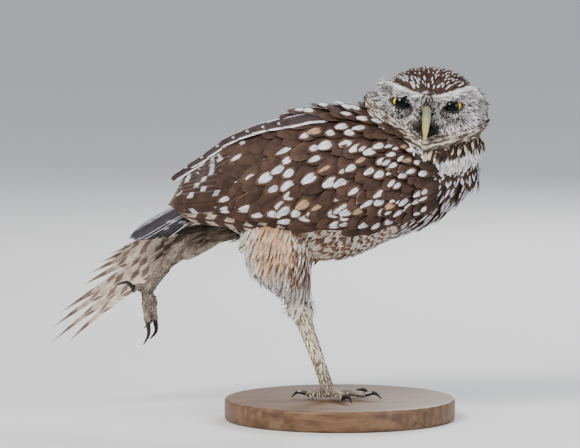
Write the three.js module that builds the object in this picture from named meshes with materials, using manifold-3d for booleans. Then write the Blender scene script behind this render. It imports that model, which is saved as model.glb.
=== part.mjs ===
// A burrowing owl stretching one wing and one leg, life size, as a still museum model.
// Millimetres, +Z up. The owl looks along +X with its head turned to its right, towards -Y.
// The origin is the centre of the underside of the round base that the owl stands on.

import * as THREE from 'three';
import { mergeVertices } from 'three/addons/utils/BufferGeometryUtils.js';
import Module from 'manifold-3d';

const wasm = await Module();
wasm.setup();

// Driving dimensions

const GAP = 0.35;             // clear space between touching nodes
const BASE_RADIUS = 66;       // round display base
const BASE_HEIGHT = 12;
const BASE_EDGE = 1.5;        // chamfer of the base's rims

// Body outline with the wings closed: x, top z, bottom z, half width
const TORSO = [
  [-84, 139, 124, 6],
  [-78, 144, 119, 11],
  [-70, 150, 113, 17],
  [-56, 161, 104, 25],
  [-40, 168, 96, 31],
  [-20, 174, 91, 35],
  [0, 176, 91, 37],
  [14, 175, 95, 37],
  [34, 171, 104, 35],
  [50, 166, 110, 31],
  [64, 161, 119, 25],
  [74, 156, 129, 17],
  [80, 151, 137, 9],
];

// The shell that the folded wing's feathers make over the body: x, top z, bottom z, half width
const CLOAK = [
  [-104, 129, 119, 5],
  [-98, 135, 114, 9],
  [-88, 143, 109, 14],
  [-78, 150, 106, 19],
  [-66, 160, 102, 25],
  [-52, 168, 96, 32],
  [-36, 174, 91, 37],
  [-18, 179, 87, 41],
  [0, 180.5, 87, 42.5],
  [16, 180, 91, 42],
  [34, 177, 100, 39],
  [50, 170, 108, 34],
  [62, 163, 117, 28],
];

const HEAD_CENTRE = new THREE.Vector3(48.5, -5, 178);
const HEAD_HALF_WIDTH = 35.5;
const HEAD_CROWN = 24.5;      // height of the crown over the head's centre
const HEAD_CHIN = 24;
const HEAD_FACE = 25;         // reach of the face in front of the centre
const HEAD_BACK = 32;
const HEAD_ROLL = 4.5;        // degrees, the head leans to its left

const EYE_RADIUS = 8.2;
const EYE_SPACING = 29;       // between the pupils
const EYE_RISE = 3.4;         // over the head's centre
const EYE_REACH = 16.3;       // the eyeball's centre in front of the head's centre
const EYE_SPLAY = 9;          // degrees that each eye turns outwards
const LID_BAR = 1.15;         // half thickness of a lid's rim
const LID_HALF_WIDTH = 7.1;   // the opening between the lids, from the eye's middle
const LID_UPPER = 4.1;
const LID_LOWER = 5.2;
const LID_SLANT = 0.9;        // the upper lid is higher at its outer end, a frown
const DISH_DEPTH = 3.2;       // the facial disc's dish round each eye
const RIDGE_HEIGHT = 2.6;     // between the dishes, down to the bill
const BROW_OVERHANG = 2.8;
const BROW_RISE = 5.5;        // the brow's line over the eye's middle
const BROW_SLOPE = 0.16;      // and its climb outwards
const CHEEK_FULLNESS = 1.6;
const CROWN_NARROWS_RIGHT = 0.026;   // share of the half width, for each mm over the eyes
const CROWN_NARROWS_LEFT = 0.012;
const BROW_FEATHERS = 6;      // a side

const BILL_LENGTH = 16.5;
const BILL_HALF_WIDTH = 3.4;
const BILL_HALF_DEPTH = 3.2;
const NOSTRIL_RADIUS = 0.95;

const NECK_RADII = [36, 31, 20];
const NECK_CENTRE = [47, -4, 155.5];
const NECK_LEAN = 4;          // degrees, lower to the front

const FEATHER_THICK = 0.55;
const TARSUS_THICK = 3.4;     // half thickness of the feathered shank
const WING_PAD = 4;           // depth of the folded wing under its feathers

const random = seeded(20611);

// Small tools

function seeded(seed) {
  let state = seed;
  return () => {
    state = (state * 1664525 + 1013904223) % 4294967296;
    return state / 4294967296;
  };
}

function vary(amount) {
  return (random() * 2 - 1) * amount;
}

function lerp(a, b, t) {
  return a + (b - a) * t;
}

function smooth(a, b, x) {
  return THREE.MathUtils.smoothstep(x, a, b);
}

function vec(x, y, z) {
  return new THREE.Vector3(x, y, z);
}

// A closed three.js geometry turned into a solid for joins and cuts
function solid(geometry) {
  const bare = geometry.clone();
  bare.deleteAttribute('normal');
  bare.deleteAttribute('uv');
  const merged = mergeVertices(bare, 1e-4);
  const mesh = new wasm.Mesh({
    numProp: 3,
    vertProperties: new Float32Array(merged.attributes.position.array),
    triVerts: new Uint32Array(merged.index.array),
  });
  return new wasm.Manifold(mesh);
}

function joined(solids) {
  return solids.reduce((whole, piece) => whole.add(piece));
}

function cutBy(body, cutters) {
  return cutters.reduce((whole, cutter) => whole.subtract(cutter), body);
}

function largest(body) {
  const pieces = body.decompose();
  pieces.sort((a, b) => b.volume() - a.volume());
  return pieces[0];
}

function toGeometry(body) {
  const mesh = largest(body).getMesh();
  const geometry = new THREE.BufferGeometry();
  geometry.setAttribute('position', new THREE.BufferAttribute(mesh.vertProperties, 3));
  geometry.setIndex(new THREE.BufferAttribute(mesh.triVerts, 1));
  geometry.computeVertexNormals();
  return geometry;
}

// A closed skin over a row of rings, each with the same number of points
function ringLoft(rings) {
  const count = rings[0].length;
  const points = rings.flat();
  const index = [];
  for (let i = 0; i < rings.length - 1; i += 1) {
    for (let j = 0; j < count; j += 1) {
      const a = i * count + j;
      const b = i * count + (j + 1) % count;
      index.push(a, b, b + count, a, b + count, a + count);
    }
  }
  const middle = (ring) => ring.reduce((sum, p) => sum.add(p), vec(0, 0, 0)).divideScalar(count);
  const last = (rings.length - 1) * count;
  points.push(middle(rings[0]), middle(rings[rings.length - 1]));
  for (let j = 0; j < count; j += 1) {
    const next = (j + 1) % count;
    index.push(points.length - 2, next, j);
    index.push(points.length - 1, last + j, last + next);
  }
  const geometry = new THREE.BufferGeometry().setFromPoints(points);
  geometry.setIndex(index);
  return geometry;
}

// Rows of numbers read between their stations, along the first column
function between(rows, x) {
  const last = rows.length - 1;
  const clamped = THREE.MathUtils.clamp(x, rows[0][0], rows[last][0]);
  let i = 0;
  while (i < last - 1 && rows[i + 1][0] < clamped) {
    i += 1;
  }
  const t = (clamped - rows[i][0]) / (rows[i + 1][0] - rows[i][0]);
  return rows[i].map((value, column) => {
    const before = rows[Math.max(i - 1, 0)][column];
    const after = rows[Math.min(i + 2, last)][column];
    const next = rows[i + 1][column];
    const curve = new THREE.CubicBezierCurve(
      new THREE.Vector2(0, value),
      new THREE.Vector2(0, value + (next - before) / 6),
      new THREE.Vector2(0, next - (after - value) / 6),
      new THREE.Vector2(0, next),
    );
    return curve.getPoint(t).y;
  });
}

// A point over an outlined body: angle 0 is its side, 90 degrees its back, side -1 the right
function overBody(rows, x, angle, lift, side) {
  const [, top, bottom, half] = between(rows, x);
  const a = THREE.MathUtils.degToRad(angle);
  const rise = (top - bottom) / 2 + lift;
  return vec(x, side * (half + lift) * Math.cos(a), (top + bottom) / 2 + rise * Math.sin(a));
}

function bodyLoft(rows, grow, steps, around) {
  const from = rows[0][0] - grow;
  const to = rows[rows.length - 1][0] + grow;
  const rings = [];
  for (let i = 0; i <= steps; i += 1) {
    const x = lerp(from, to, i / steps);
    const ring = [];
    for (let j = 0; j < around; j += 1) {
      const point = overBody(rows, x, 360 * j / around, grow, 1);
      point.x = x;
      ring.push(point);
    }
    rings.push(ring);
  }
  return solid(ringLoft(rings));
}

// A round limb along a curve; sizes holds across and along-the-curve half thicknesses at stations
function limb(points, sizes, grow, steps, around, up) {
  const curve = new THREE.CatmullRomCurve3(points);
  const rings = [];
  for (let i = 0; i <= steps; i += 1) {
    const t = i / steps;
    const centre = curve.getPoint(t);
    const along = curve.getTangent(t);
    centre.addScaledVector(along, i === 0 ? -grow : 0);
    centre.addScaledVector(along, i === steps ? grow : 0);
    const side = new THREE.Vector3().crossVectors(along, up).normalize();
    const over = new THREE.Vector3().crossVectors(side, along).normalize();
    const [, wide, thick] = between(sizes, t);
    const ring = [];
    for (let j = 0; j < around; j += 1) {
      const a = 2 * Math.PI * j / around;
      ring.push(centre.clone()
        .addScaledVector(side, (wide + grow) * Math.cos(a))
        .addScaledVector(over, (thick + grow) * Math.sin(a)));
    }
    rings.push(ring);
  }
  return solid(ringLoft(rings.reverse()));
}

// A feather's vane: path gives a point and an outward direction for t from root to tip.
// Both faces are split alike, so the thin body stays sound where it curves.
function vane(path, { width, thick = FEATHER_THICK, steps = 5, tilt = 0, point = 0.3, grow = 0 }) {
  const rings = [];
  for (let i = 0; i <= steps; i += 1) {
    const t = i / steps;
    const here = path(t);
    const ahead = path(Math.min(t + 0.02, 1)).point.clone();
    const behind = path(Math.max(t - 0.02, 0)).point;
    const along = ahead.sub(behind).normalize();
    const side = new THREE.Vector3().crossVectors(along, here.up).normalize();
    side.applyAxisAngle(along, THREE.MathUtils.degToRad(tilt));
    const over = new THREE.Vector3().crossVectors(side, along).normalize();
    const swell = lerp(0.5, 1, Math.min(1, t / 0.3));
    const taper = t > 0.68 ? Math.sqrt(Math.max(0, 1 - ((t - 0.68) / 0.32) ** 2)) : 1;
    const half = width / 2 * swell * Math.max(taper, point) + grow;
    const deep = thick / 2 * (t === 1 ? 0.8 : 1) + grow;
    rings.push([[-1, 1], [1, 1], [1, -1], [-1, -1]].map(([s, o]) => here.point.clone()
      .addScaledVector(side, s * half)
      .addScaledVector(over, o * deep)));
  }
  const index = [0, 2, 1, 0, 3, 2];
  for (let i = 0; i < steps; i += 1) {
    const a = i * 4;
    const b = a + 4;
    index.push(a, a + 1, b + 1, a, b + 1, b);
    index.push(a + 2, a + 3, b + 2, a + 3, b + 3, b + 2);
    index.push(a + 1, a + 2, b + 2, a + 1, b + 2, b + 1);
    index.push(a + 3, a, b, a + 3, b, b + 3);
  }
  const end = steps * 4;
  index.push(end, end + 1, end + 2, end, end + 2, end + 3);
  const geometry = new THREE.BufferGeometry().setFromPoints(rings.flat());
  geometry.setIndex(index);
  return solid(geometry);
}

// A vane's path over the folded wing's shell, from x and angle at its root to those at its tip
function overShell(rows, from, to, lift, side, sink = 2.2) {
  return (t) => {
    const x = lerp(from[0], to[0], t);
    const angle = lerp(from[1], to[1], t);
    const rise = lerp(-sink, lift, t);
    const here = overBody(rows, x, angle, rise, side);
    const above = overBody(rows, x, angle, rise + 1, side);
    return { point: here, up: above.sub(here).normalize() };
  };
}

// A straight or bowed vane's path between two points
function between3(root, tip, up, bow) {
  return (t) => {
    const here = root.clone().lerp(tip, t);
    here.addScaledVector(up, bow * 4 * t * (1 - t));
    return { point: here, up };
  };
}

// Head: local axes are +X out of the face, +Y to the owl's left, +Z up

const headFrame = new THREE.Matrix4()
  .makeTranslation(HEAD_CENTRE.x, HEAD_CENTRE.y, HEAD_CENTRE.z)
  .multiply(new THREE.Matrix4().makeRotationZ(-Math.PI / 2))
  .multiply(new THREE.Matrix4().makeRotationX(THREE.MathUtils.degToRad(-HEAD_ROLL)));

function inHead(x, y, z) {
  return vec(x, y, z).applyMatrix4(headFrame);
}

function headSurface(direction) {
  const d = direction;
  const reachX = d.x > 0 ? HEAD_FACE : HEAD_BACK;
  const reachZ = d.z > 0 ? HEAD_CROWN : HEAD_CHIN;
  const power = d.x > 0 ? 2.7 : 2.15;
  const sum = Math.abs(d.x) ** power / reachX ** power
    + Math.abs(d.y) ** power / HEAD_HALF_WIDTH ** power
    + Math.abs(d.z) ** power / reachZ ** power;
  const p = d.clone().multiplyScalar(sum ** (-1 / power));
  const front = smooth(0.2, 0.6, d.x);
  const across = Math.abs(p.y);
  // each disc is a shallow dish round its eye, with a ridge between them down to the bill
  const toEye = Math.hypot(across - EYE_SPACING / 2, p.z - EYE_RISE + 1);
  p.x -= front * DISH_DEPTH * (1 - smooth(6, 17, toEye));
  p.x += front * RIDGE_HEIGHT * (1 - smooth(0, 7, across)) * (1 - smooth(6, 16, Math.abs(p.z + 3)));
  // the brows hang over the eyes and fall towards the bill
  const browLine = EYE_RISE + BROW_RISE + (across - 4) * BROW_SLOPE;
  const overBrow = (1 - smooth(0, 4.5, Math.abs(p.z - browLine))) * (1 - smooth(20, 27, across));
  p.x += front * BROW_OVERHANG * overBrow;
  // full cheeks below the discs
  const overCheek = (1 - smooth(0, 8, Math.abs(p.z + 15))) * (1 - smooth(20, 30, across));
  p.x += front * CHEEK_FULLNESS * overCheek;
  // the crown narrows upwards, more on the side that looks back along the body
  const narrowing = p.y < 0 ? CROWN_NARROWS_RIGHT : CROWN_NARROWS_LEFT;
  p.y *= 1 - narrowing * Math.max(0, p.z - EYE_RISE - 1.6);
  return p;
}

function headBlank(grow) {
  const sphere = new THREE.SphereGeometry(1, 26, 18);
  sphere.deleteAttribute('normal');
  sphere.deleteAttribute('uv');
  const shape = mergeVertices(sphere, 1e-4);
  const position = shape.attributes.position;
  for (let i = 0; i < position.count; i += 1) {
    const d = vec(position.getX(i), -position.getZ(i), position.getY(i)).normalize();
    const p = headSurface(d);
    p.addScaledVector(d, grow);
    const world = inHead(p.x, p.y, p.z);
    position.setXYZ(i, world.x, world.y, world.z);
  }
  return solid(shape);
}

function eyeCentre(side) {
  return inHead(EYE_REACH, side * EYE_SPACING / 2, EYE_RISE);
}

function eyeAxis(side) {
  const splay = THREE.MathUtils.degToRad(EYE_SPLAY) * side;
  const ahead = inHead(EYE_REACH + Math.cos(splay), side * EYE_SPACING / 2 + Math.sin(splay), EYE_RISE);
  return ahead.sub(eyeCentre(side)).normalize();
}

function ball(centre, radius, wide, high) {
  const geometry = new THREE.SphereGeometry(radius, wide, high);
  geometry.translate(centre.x, centre.y, centre.z);
  return solid(geometry);
}

// Upper and lower lids as one rim round the eye's opening, lower over the inner corner
function lids(side) {
  const axis = eyeAxis(side);
  const centre = eyeCentre(side);
  const across = inHead(0, side, 0).sub(inHead(0, 0, 0)).normalize();
  const up = new THREE.Vector3().crossVectors(axis, across).normalize().multiplyScalar(-side);
  up.multiplyScalar(Math.sign(up.z));
  const steps = 14;
  const rings = [];
  for (let i = 0; i < steps; i += 1) {
    const a = 2 * Math.PI * i / steps;
    const wide = LID_HALF_WIDTH * Math.cos(a);
    const high = (Math.sin(a) > 0 ? LID_UPPER : LID_LOWER) * Math.sin(a);
    const brow = Math.sin(a) > 0 ? LID_SLANT * Math.cos(a) : 0;
    const offset = across.clone().multiplyScalar(wide).addScaledVector(up, high + brow);
    const depth = Math.sqrt(Math.max(1, EYE_RADIUS ** 2 - offset.lengthSq()));
    const middle = centre.clone().add(offset).addScaledVector(axis, depth - 0.15);
    const out = offset.clone().normalize();
    const ring = [];
    for (let j = 0; j < 5; j += 1) {
      const b = 2 * Math.PI * j / 5;
      ring.push(middle.clone()
        .addScaledVector(out, LID_BAR * Math.cos(b))
        .addScaledVector(axis, LID_BAR * Math.sin(b)));
    }
    rings.push(ring);
  }
  return closedRing(rings);
}

// A ring of rings, joined end to end
function closedRing(rings) {
  const count = rings[0].length;
  const total = rings.length;
  const index = [];
  for (let i = 0; i < total; i += 1) {
    for (let j = 0; j < count; j += 1) {
      const a = i * count + j;
      const b = i * count + (j + 1) % count;
      const c = ((i + 1) % total) * count + (j + 1) % count;
      const d = ((i + 1) % total) * count + j;
      index.push(a, b, c, a, c, d);
    }
  }
  const geometry = new THREE.BufferGeometry().setFromPoints(rings.flat());
  geometry.setIndex(index);
  const body = solid(geometry);
  if (body.volume() > 0) {
    return body;
  }
  const flipped = [];
  for (let k = 0; k < index.length; k += 3) {
    flipped.push(index[k], index[k + 2], index[k + 1]);
  }
  geometry.setIndex(flipped);
  return solid(geometry);
}

// Brow feathers stand out over each eye in a short fan of vanes
function brows(side) {
  const vanes = [];
  for (let i = 0; i < BROW_FEATHERS; i += 1) {
    const s = i / (BROW_FEATHERS - 1);
    const across = lerp(5, 22, s);
    const z = EYE_RISE + BROW_RISE - 0.3 + across * BROW_SLOPE;
    const root = inHead(17, side * (across - 2.5), z - 0.5);
    const reach = lerp(27.5, 22.5, s);
    const tip = inHead(reach, side * (across + lerp(0.5, 5, s)), z + lerp(-1.5, 1.8, s) + vary(0.2));
    const up = inHead(0, 0, 1).sub(inHead(0, 0, 0));
    vanes.push(vane(between3(root, tip, up, 0.6), { width: 4.4, thick: 0.9, steps: 2, point: 0.3 }));
  }
  return vanes;
}

const bareHead = headBlank(0);
const grownHead = headBlank(GAP);

function bill(grow) {
  const stations = [
    [0, BILL_HALF_DEPTH, BILL_HALF_WIDTH],
    [0.3, BILL_HALF_DEPTH * 0.97, BILL_HALF_WIDTH * 0.95],
    [0.6, BILL_HALF_DEPTH * 0.78, BILL_HALF_WIDTH * 0.72],
    [0.85, BILL_HALF_DEPTH * 0.47, BILL_HALF_WIDTH * 0.4],
    [1, 0.35, 0.35],
  ];
  const points = [
    inHead(19, 0, 0.5),
    inHead(26.5, 0, 0.2),
    inHead(31.5, 0, -3.5),
    inHead(33.2, 0, -9),
    inHead(31.2, 0, 0.5 - BILL_LENGTH),
  ];
  return limb(points, stations, grow, 8, 10, inHead(0, 1, 0).sub(inHead(0, 0, 0)));
}

function lowerBill(grow) {
  const stations = [[0, 1.6, 2.7], [0.6, 1.5, 2.2], [1, 0.5, 0.6]];
  const points = [inHead(20, 0, -7.5), inHead(26, 0, -9.5), inHead(29.3, 0, -13)];
  return limb(points, stations, grow, 4, 8, inHead(0, 1, 0).sub(inHead(0, 0, 0)));
}

function nostrils() {
  return [-1, 1].map((side) => ball(inHead(28.2, side * 2.9, -1.4), NOSTRIL_RADIUS, 8, 6));
}

// Neck and torso

function neckBlank(grow) {
  const geometry = new THREE.SphereGeometry(1, 16, 12);
  geometry.scale(...NECK_RADII.map((radius) => radius + grow));
  geometry.rotateY(THREE.MathUtils.degToRad(-NECK_LEAN));
  geometry.translate(...NECK_CENTRE);
  return solid(geometry);
}

const grownNeck = neckBlank(GAP);
const grownTorso = bodyLoft(TORSO, GAP, 18, 20);

// Tail: twelve feathers, rooted in the rump, a little fanned and rolled to the left

const TAIL_ROOT = vec(-66, 4, 131);
const TAIL_TIP = vec(-121, 9, 100);
const TAIL_SPREAD = 15;       // half the fan's width at the tips
const TAIL_ROLL = 38;         // degrees
const TAIL_FEATHERS = 12;

function tail() {
  const along = TAIL_TIP.clone().sub(TAIL_ROOT).normalize();
  const up = new THREE.Vector3(0, 0, 1).addScaledVector(along, -along.z).normalize();
  up.applyAxisAngle(along, THREE.MathUtils.degToRad(TAIL_ROLL));
  const across = new THREE.Vector3().crossVectors(along, up).normalize();
  const onAxis = (distance) => TAIL_ROOT.clone().addScaledVector(along, distance);
  const core = limb(
    [vec(-58, 2, 135), onAxis(4), onAxis(20)],
    [[0, 9, 8], [0.5, 9, 6], [1, 6, 1.6]], 0, 7, 14, up,
  );
  const pieces = [core];
  const middle = (TAIL_FEATHERS - 1) / 2;
  for (let i = 0; i < TAIL_FEATHERS; i += 1) {
    const s = i / middle - 1;
    // the middle pair lies on top, and the others step down beneath it to each side
    const layer = middle - Math.abs(i - middle) - 2.6;
    const root = TAIL_ROOT.clone()
      .addScaledVector(across, s * 5)
      .addScaledVector(up, layer * 0.9)
      .addScaledVector(along, 8);
    const tip = TAIL_TIP.clone()
      .addScaledVector(across, s * TAIL_SPREAD)
      .addScaledVector(along, -3.5 * s * s + vary(0.4))
      .addScaledVector(up, layer);
    pieces.push(vane(between3(root, tip, up, 1), { width: 10.5, steps: 4, point: 0.35 }));
  }
  return joined(pieces);
}

// Folded right wing: a shell over the body's side, with tiers of coverts and flight feathers

function shellCore(side, spanFrom, spanTo, low, high, thick) {
  const across = 14;
  const around = 8;
  const rings = [];
  for (let i = 0; i <= across; i += 1) {
    const s = i / across;
    const x = lerp(spanFrom, spanTo, s);
    const edge = Math.sqrt(Math.max(0.05, 1 - (2 * s - 1) ** 4));
    const middle = (low(s) + high(s)) / 2;
    const reach = (high(s) - low(s)) / 2 * edge;
    const ring = [];
    for (let j = 0; j <= around; j += 1) {
      const angle = middle - reach + 2 * reach * j / around;
      const rim = Math.sqrt(Math.max(0.03, 1 - (2 * j / around - 1) ** 4));
      ring.push(overBody(CLOAK, x, angle, -thick * (1 - rim * edge), side));
    }
    for (let j = around; j >= 0; j -= 1) {
      const angle = middle - reach + 2 * reach * j / around;
      ring.push(overBody(CLOAK, x, angle, -thick - 1, side));
    }
    rings.push(ring);
  }
  const body = solid(ringLoft(rings));
  return body.volume() > 0 ? body : solid(ringLoft(rings.reverse()));
}

const LOW_EDGE = (s) => lerp(-48, -34, smooth(0.1, 0.8, s));
const HIGH_EDGE = (s) => lerp(60, 74, smooth(0, 0.4, s)) - 14 * smooth(0.75, 1, s);

// One tier: rows of like feathers side by side from the lower edge to the back
function tier(side, { count, fromX, toX, fromAngle, toAngle, width, lift, tilt, steps = 4 }) {
  const vanes = [];
  for (let i = 0; i < count; i += 1) {
    const s = i / (count - 1);
    const from = [lerp(fromX[0], fromX[1], s) + vary(1), lerp(fromAngle[0], fromAngle[1], s)];
    const to = [lerp(toX[0], toX[1], s) + vary(1.2), lerp(toAngle[0], toAngle[1], s) + vary(1)];
    const path = overShell(CLOAK, from, to, lift, side);
    vanes.push(vane(path, { width: lerp(width[0], width[1], s), tilt: side * tilt, steps }));
  }
  return vanes;
}

function rightWing() {
  const side = -1;
  const core = shellCore(side, -74, 56, LOW_EDGE, HIGH_EDGE, WING_PAD);
  const pieces = [core];
  // primaries, nested along the lower edge, their tips past the tail's root
  pieces.push(...tier(side, {
    count: 6, fromX: [-22, -38], toX: [-94, -101], fromAngle: [-42, -14], toAngle: [-30, 16],
    width: [8, 9], lift: -1.4, tilt: 9, steps: 5,
  }));
  // secondaries and tertials step up along the back
  pieces.push(...tier(side, {
    count: 7, fromX: [-24, -20], toX: [-88, -58], fromAngle: [-24, 62], toAngle: [-2, 74],
    width: [13, 16], lift: 1.6, tilt: 8, steps: 5,
  }));
  // greater, median, lesser and marginal coverts, each row over the roots of the one behind
  const rows = [
    [8, [8, 2], [-36, -42], -42, 66, 13.5, 3.0],
    [7, [25, 19], [-11, -15], -38, 66, 14.5, 3.3],
    [6, [41, 35], [10, 4], -34, 64, 15, 3.5],
    [5, [52, 47], [30, 24], -28, 58, 14, 3.5],
  ];
  rows.forEach(([count, fromX, toX, low, high, width, lift]) => {
    pieces.push(...tier(side, {
      count, fromX, toX, fromAngle: [low, high], toAngle: [low + 2, high + 4],
      width: [width, width], lift, tilt: 8, steps: 3,
    }));
  });
  return joined(pieces);
}

// Stretched left wing: the arm lies back along the body, the hand and its feathers reach past it

const LEFT_SHOULDER = vec(44, 32, 154);
const LEFT_ELBOW = vec(6, 46, 140);
const LEFT_WRIST = vec(-32, 42, 119);
const LEFT_HAND = vec(-60, 36, 105);
const PRIMARY_TIPS = [
  [-158.5, 24, 39.5],
  [-168.5, 26, 39.5],
  [-168, 27.5, 48],
  [-163, 29, 57],
  [-149, 30, 73],
  [-145, 31, 80],
  [-139, 32, 86],
  [-133, 33, 91],
  [-126, 34, 95],
  [-119, 35, 99.5],
];

const LEFT_OUT = vec(0.12, 1, 0.1).normalize();
const LEFT_LINE = [LEFT_SHOULDER, LEFT_ELBOW, LEFT_WRIST, LEFT_HAND];
const LEFT_SPINE = new THREE.CatmullRomCurve3(LEFT_LINE);
const LEFT_SECONDARIES = 6;

// Rows of coverts on the arm's outer side: count, first and last place along the arm, length, drop
const LEFT_COVERTS = [
  [6, 0.78, 0.08, 38, 0],
  [5, 0.74, 0.08, 32, 5],
  [4, 0.66, 0.08, 28, 9],
];

// The upper arm and forearm, with the secondaries behind them
function leftArm(grow) {
  const pieces = [limb(
    [LEFT_SHOULDER, LEFT_ELBOW, LEFT_WRIST],
    [[0, 15, 4], [0.45, 17, 6], [0.85, 12, 5.5], [1, 8, 5]],
    grow, 9, 10, LEFT_OUT,
  )];
  for (let i = 0; i < LEFT_SECONDARIES; i += 1) {
    const s = i / (LEFT_SECONDARIES - 1);
    const root = LEFT_WRIST.clone().lerp(LEFT_ELBOW, lerp(0.12, 0.9, s));
    root.addScaledVector(LEFT_OUT, 3.2 + 0.6 * s);
    root.z += 5;
    const tip = vec(lerp(-113, -74, s), lerp(39.5, 47, s), lerp(104, 131, s));
    pieces.push(vane(between3(root, tip, LEFT_OUT, 1), { width: 14, steps: 4, point: 0.4, grow }));
  }
  LEFT_COVERTS.forEach(([count, first, last, length, drop]) => {
    for (let i = 0; i < count; i += 1) {
      const s = i / (count - 1);
      const root = LEFT_SPINE.getPoint(lerp(first, last, s) * 0.9);
      root.addScaledVector(LEFT_OUT, 2.5 + 1.5 * Math.sin(Math.PI * s));
      root.z += lerp(3, 8, s) - drop;
      const tip = root.clone();
      tip.x -= length * lerp(0.9, 1, s);
      tip.z -= length * lerp(0.45, 0.05, s);
      tip.addScaledVector(LEFT_OUT, 4);
      pieces.push(vane(between3(root, tip, LEFT_OUT, 0.6), {
        width: 12.5, tilt: 8, steps: 3, point: 0.4, grow,
      }));
    }
  });
  return joined(pieces);
}

// The hand, from the wrist out, with its ten primaries
function leftHand() {
  const pieces = [limb(
    [LEFT_WRIST.clone().lerp(LEFT_ELBOW, 0.12), LEFT_WRIST, LEFT_HAND],
    [[0, 8, 4.6], [0.4, 7.5, 4.8], [1, 3, 2.4]],
    0, 7, 10, LEFT_OUT,
  )];
  PRIMARY_TIPS.forEach(([x, y, z], i) => {
    const s = i / (PRIMARY_TIPS.length - 1);
    const root = LEFT_HAND.clone().lerp(LEFT_WRIST, s * 0.95);
    root.addScaledVector(LEFT_OUT, lerp(-3.6, 3.4, s));
    root.z += lerp(-1, 3, s);
    const path = between3(root, vec(x, y + s * 3, z), LEFT_OUT, 1);
    pieces.push(vane(path, { width: lerp(8.5, 12, s), steps: 5, point: 0.22 }));
  });
  return joined(pieces);
}

// Legs

const RIGHT_HEEL = vec(-21.5, -12, 61);
const RIGHT_FOOT = vec(-6.5, -8, BASE_HEIGHT + 5.2);
const LEFT_HEEL = vec(-88, 6, 103);
const LEFT_FOOT = vec(-110, -8, 75);
const UP = vec(0, 0, 1);
const AHEAD = vec(1, 0, 0);

function rightThigh(grow) {
  return limb(
    [vec(-34, -15, 112), vec(-34, -17, 99), vec(-29, -16, 87), vec(-24, -13.5, 76), vec(-22, -12.5, 66)],
    [[0, 17, 22], [0.3, 17, 21], [0.55, 12, 14], [0.78, 7, 7.8], [1, 5.2, 6.2]],
    grow, 10, 14, AHEAD,
  );
}

function rightShank(grow) {
  return limb(
    [vec(-22, -12.5, 67.5), RIGHT_HEEL, RIGHT_HEEL.clone().lerp(RIGHT_FOOT, 0.5), RIGHT_FOOT],
    [[0, 5, 6], [0.25, 5.2, 6.6], [0.5, 3.8, 4.4], [0.85, TARSUS_THICK, 3.8], [1, 3.8, 4.2]],
    grow, 10, 10, AHEAD,
  );
}

function leftThigh(grow) {
  return limb(
    [vec(-46, 15, 117), vec(-60, 14, 111), vec(-74, 11, 107), vec(-84, 7.6, 104.5)],
    [[0, 10, 12], [0.35, 9, 10], [0.7, 6.5, 6.5], [1, 4.8, 5]],
    grow, 7, 12, UP,
  );
}

function leftShank(grow) {
  return limb(
    [vec(-81, 8.6, 105), LEFT_HEEL, LEFT_HEEL.clone().lerp(LEFT_FOOT, 0.45), LEFT_FOOT],
    [[0, 4.6, 4.8], [0.3, 4.8, 5.2], [0.6, 3.6, 4], [1, 3.6, 3.8]],
    grow, 10, 10, UP,
  );
}

// A toe: fleshy pads between creases, from the foot to the root of its claw
function toe(points, thick, up) {
  const joints = 3;
  const sizes = [];
  const marks = joints * 4;
  for (let i = 0; i <= marks; i += 1) {
    const t = i / marks;
    const pad = 1 - 0.13 * Math.cos(2 * Math.PI * joints * t);
    const size = thick * lerp(1.05, 0.82, t) * pad;
    sizes.push([t, size, size * 0.92]);
  }
  return limb(points, sizes, 0, 7, 6, up);
}

function claw(points, thick, grow, up) {
  const sizes = [
    [0, thick, thick],
    [0.4, thick * 0.75, thick * 0.8],
    [0.8, thick * 0.38, thick * 0.4],
    [1, 0.22, 0.22],
  ];
  return limb(points, sizes, grow, 6, 6, up);
}

// Toes of the standing foot: heading in degrees from straight ahead, reach
const RIGHT_TOES = [
  ['inner', 30, 19],
  ['middle', -8, 22],
  ['outer', -62, 19],
  ['hind', 172, 13],
];
const TOE_THICK = 2.7;
const CLAW_LENGTH = 8.5;
const CLAW_THICK = 1.5;
const PAD_RADIUS = 4.1;       // the fleshy ball that the toes meet in

function rightToe([, heading, reach]) {
  const a = THREE.MathUtils.degToRad(heading);
  const out = vec(Math.cos(a), Math.sin(a), 0);
  const ground = BASE_HEIGHT + GAP + TOE_THICK * 0.98;
  const start = vec(RIGHT_FOOT.x, RIGHT_FOOT.y, ground + 1.2);
  const at = (r, z) => start.clone().addScaledVector(out, r).setZ(z);
  return {
    toe: [start, at(reach * 0.45, ground + 1.0), at(reach, ground)],
    claw: [at(reach - 0.6, ground + 0.3), at(reach + CLAW_LENGTH * 0.55, ground + 1.1),
      at(reach + CLAW_LENGTH, BASE_HEIGHT + GAP + 0.5)],
  };
}

// Toes of the raised foot hang limp: bends of the toe, then of its claw, from the foot's centre
const LEFT_TOES = [
  ['inner', [[-0.5, -2, -9], [0.5, -4, -19]], [[0.5, -4, -18.6], [1, -5, -25], [-2, -6, -31]]],
  ['middle', [[3, -1, -10], [4.5, 1, -18]], [[4.5, 1, -17.6], [5, 1.5, -24], [1.5, 1, -28.5]]],
  ['outer', [[3.5, 4, -7], [3, 8, -14]], [[3, 8, -13.6], [2, 9.5, -19], [-2, 10, -23]]],
  ['hind', [[-3.5, -3, 2], [-8, -6, 1.5]], [[-7.6, -5.8, 1.6], [-11.5, -7.5, 5], [-17, -8.5, 3.5]]],
].map(([name, bends, hook]) => {
  const place = ([x, y, z]) => LEFT_FOOT.clone().add(vec(x, y, z));
  return { name, toe: [LEFT_FOOT, ...bends.map(place)], claw: hook.map(place) };
});
const ACROSS = vec(0.3, 1, 0);

function foot(centre, toes) {
  const pad = new THREE.SphereGeometry(PAD_RADIUS, 10, 6);
  pad.scale(1, 1, 0.86);
  pad.translate(centre.x, centre.y, centre.z);
  return joined([solid(pad), ...toes]);
}

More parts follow.
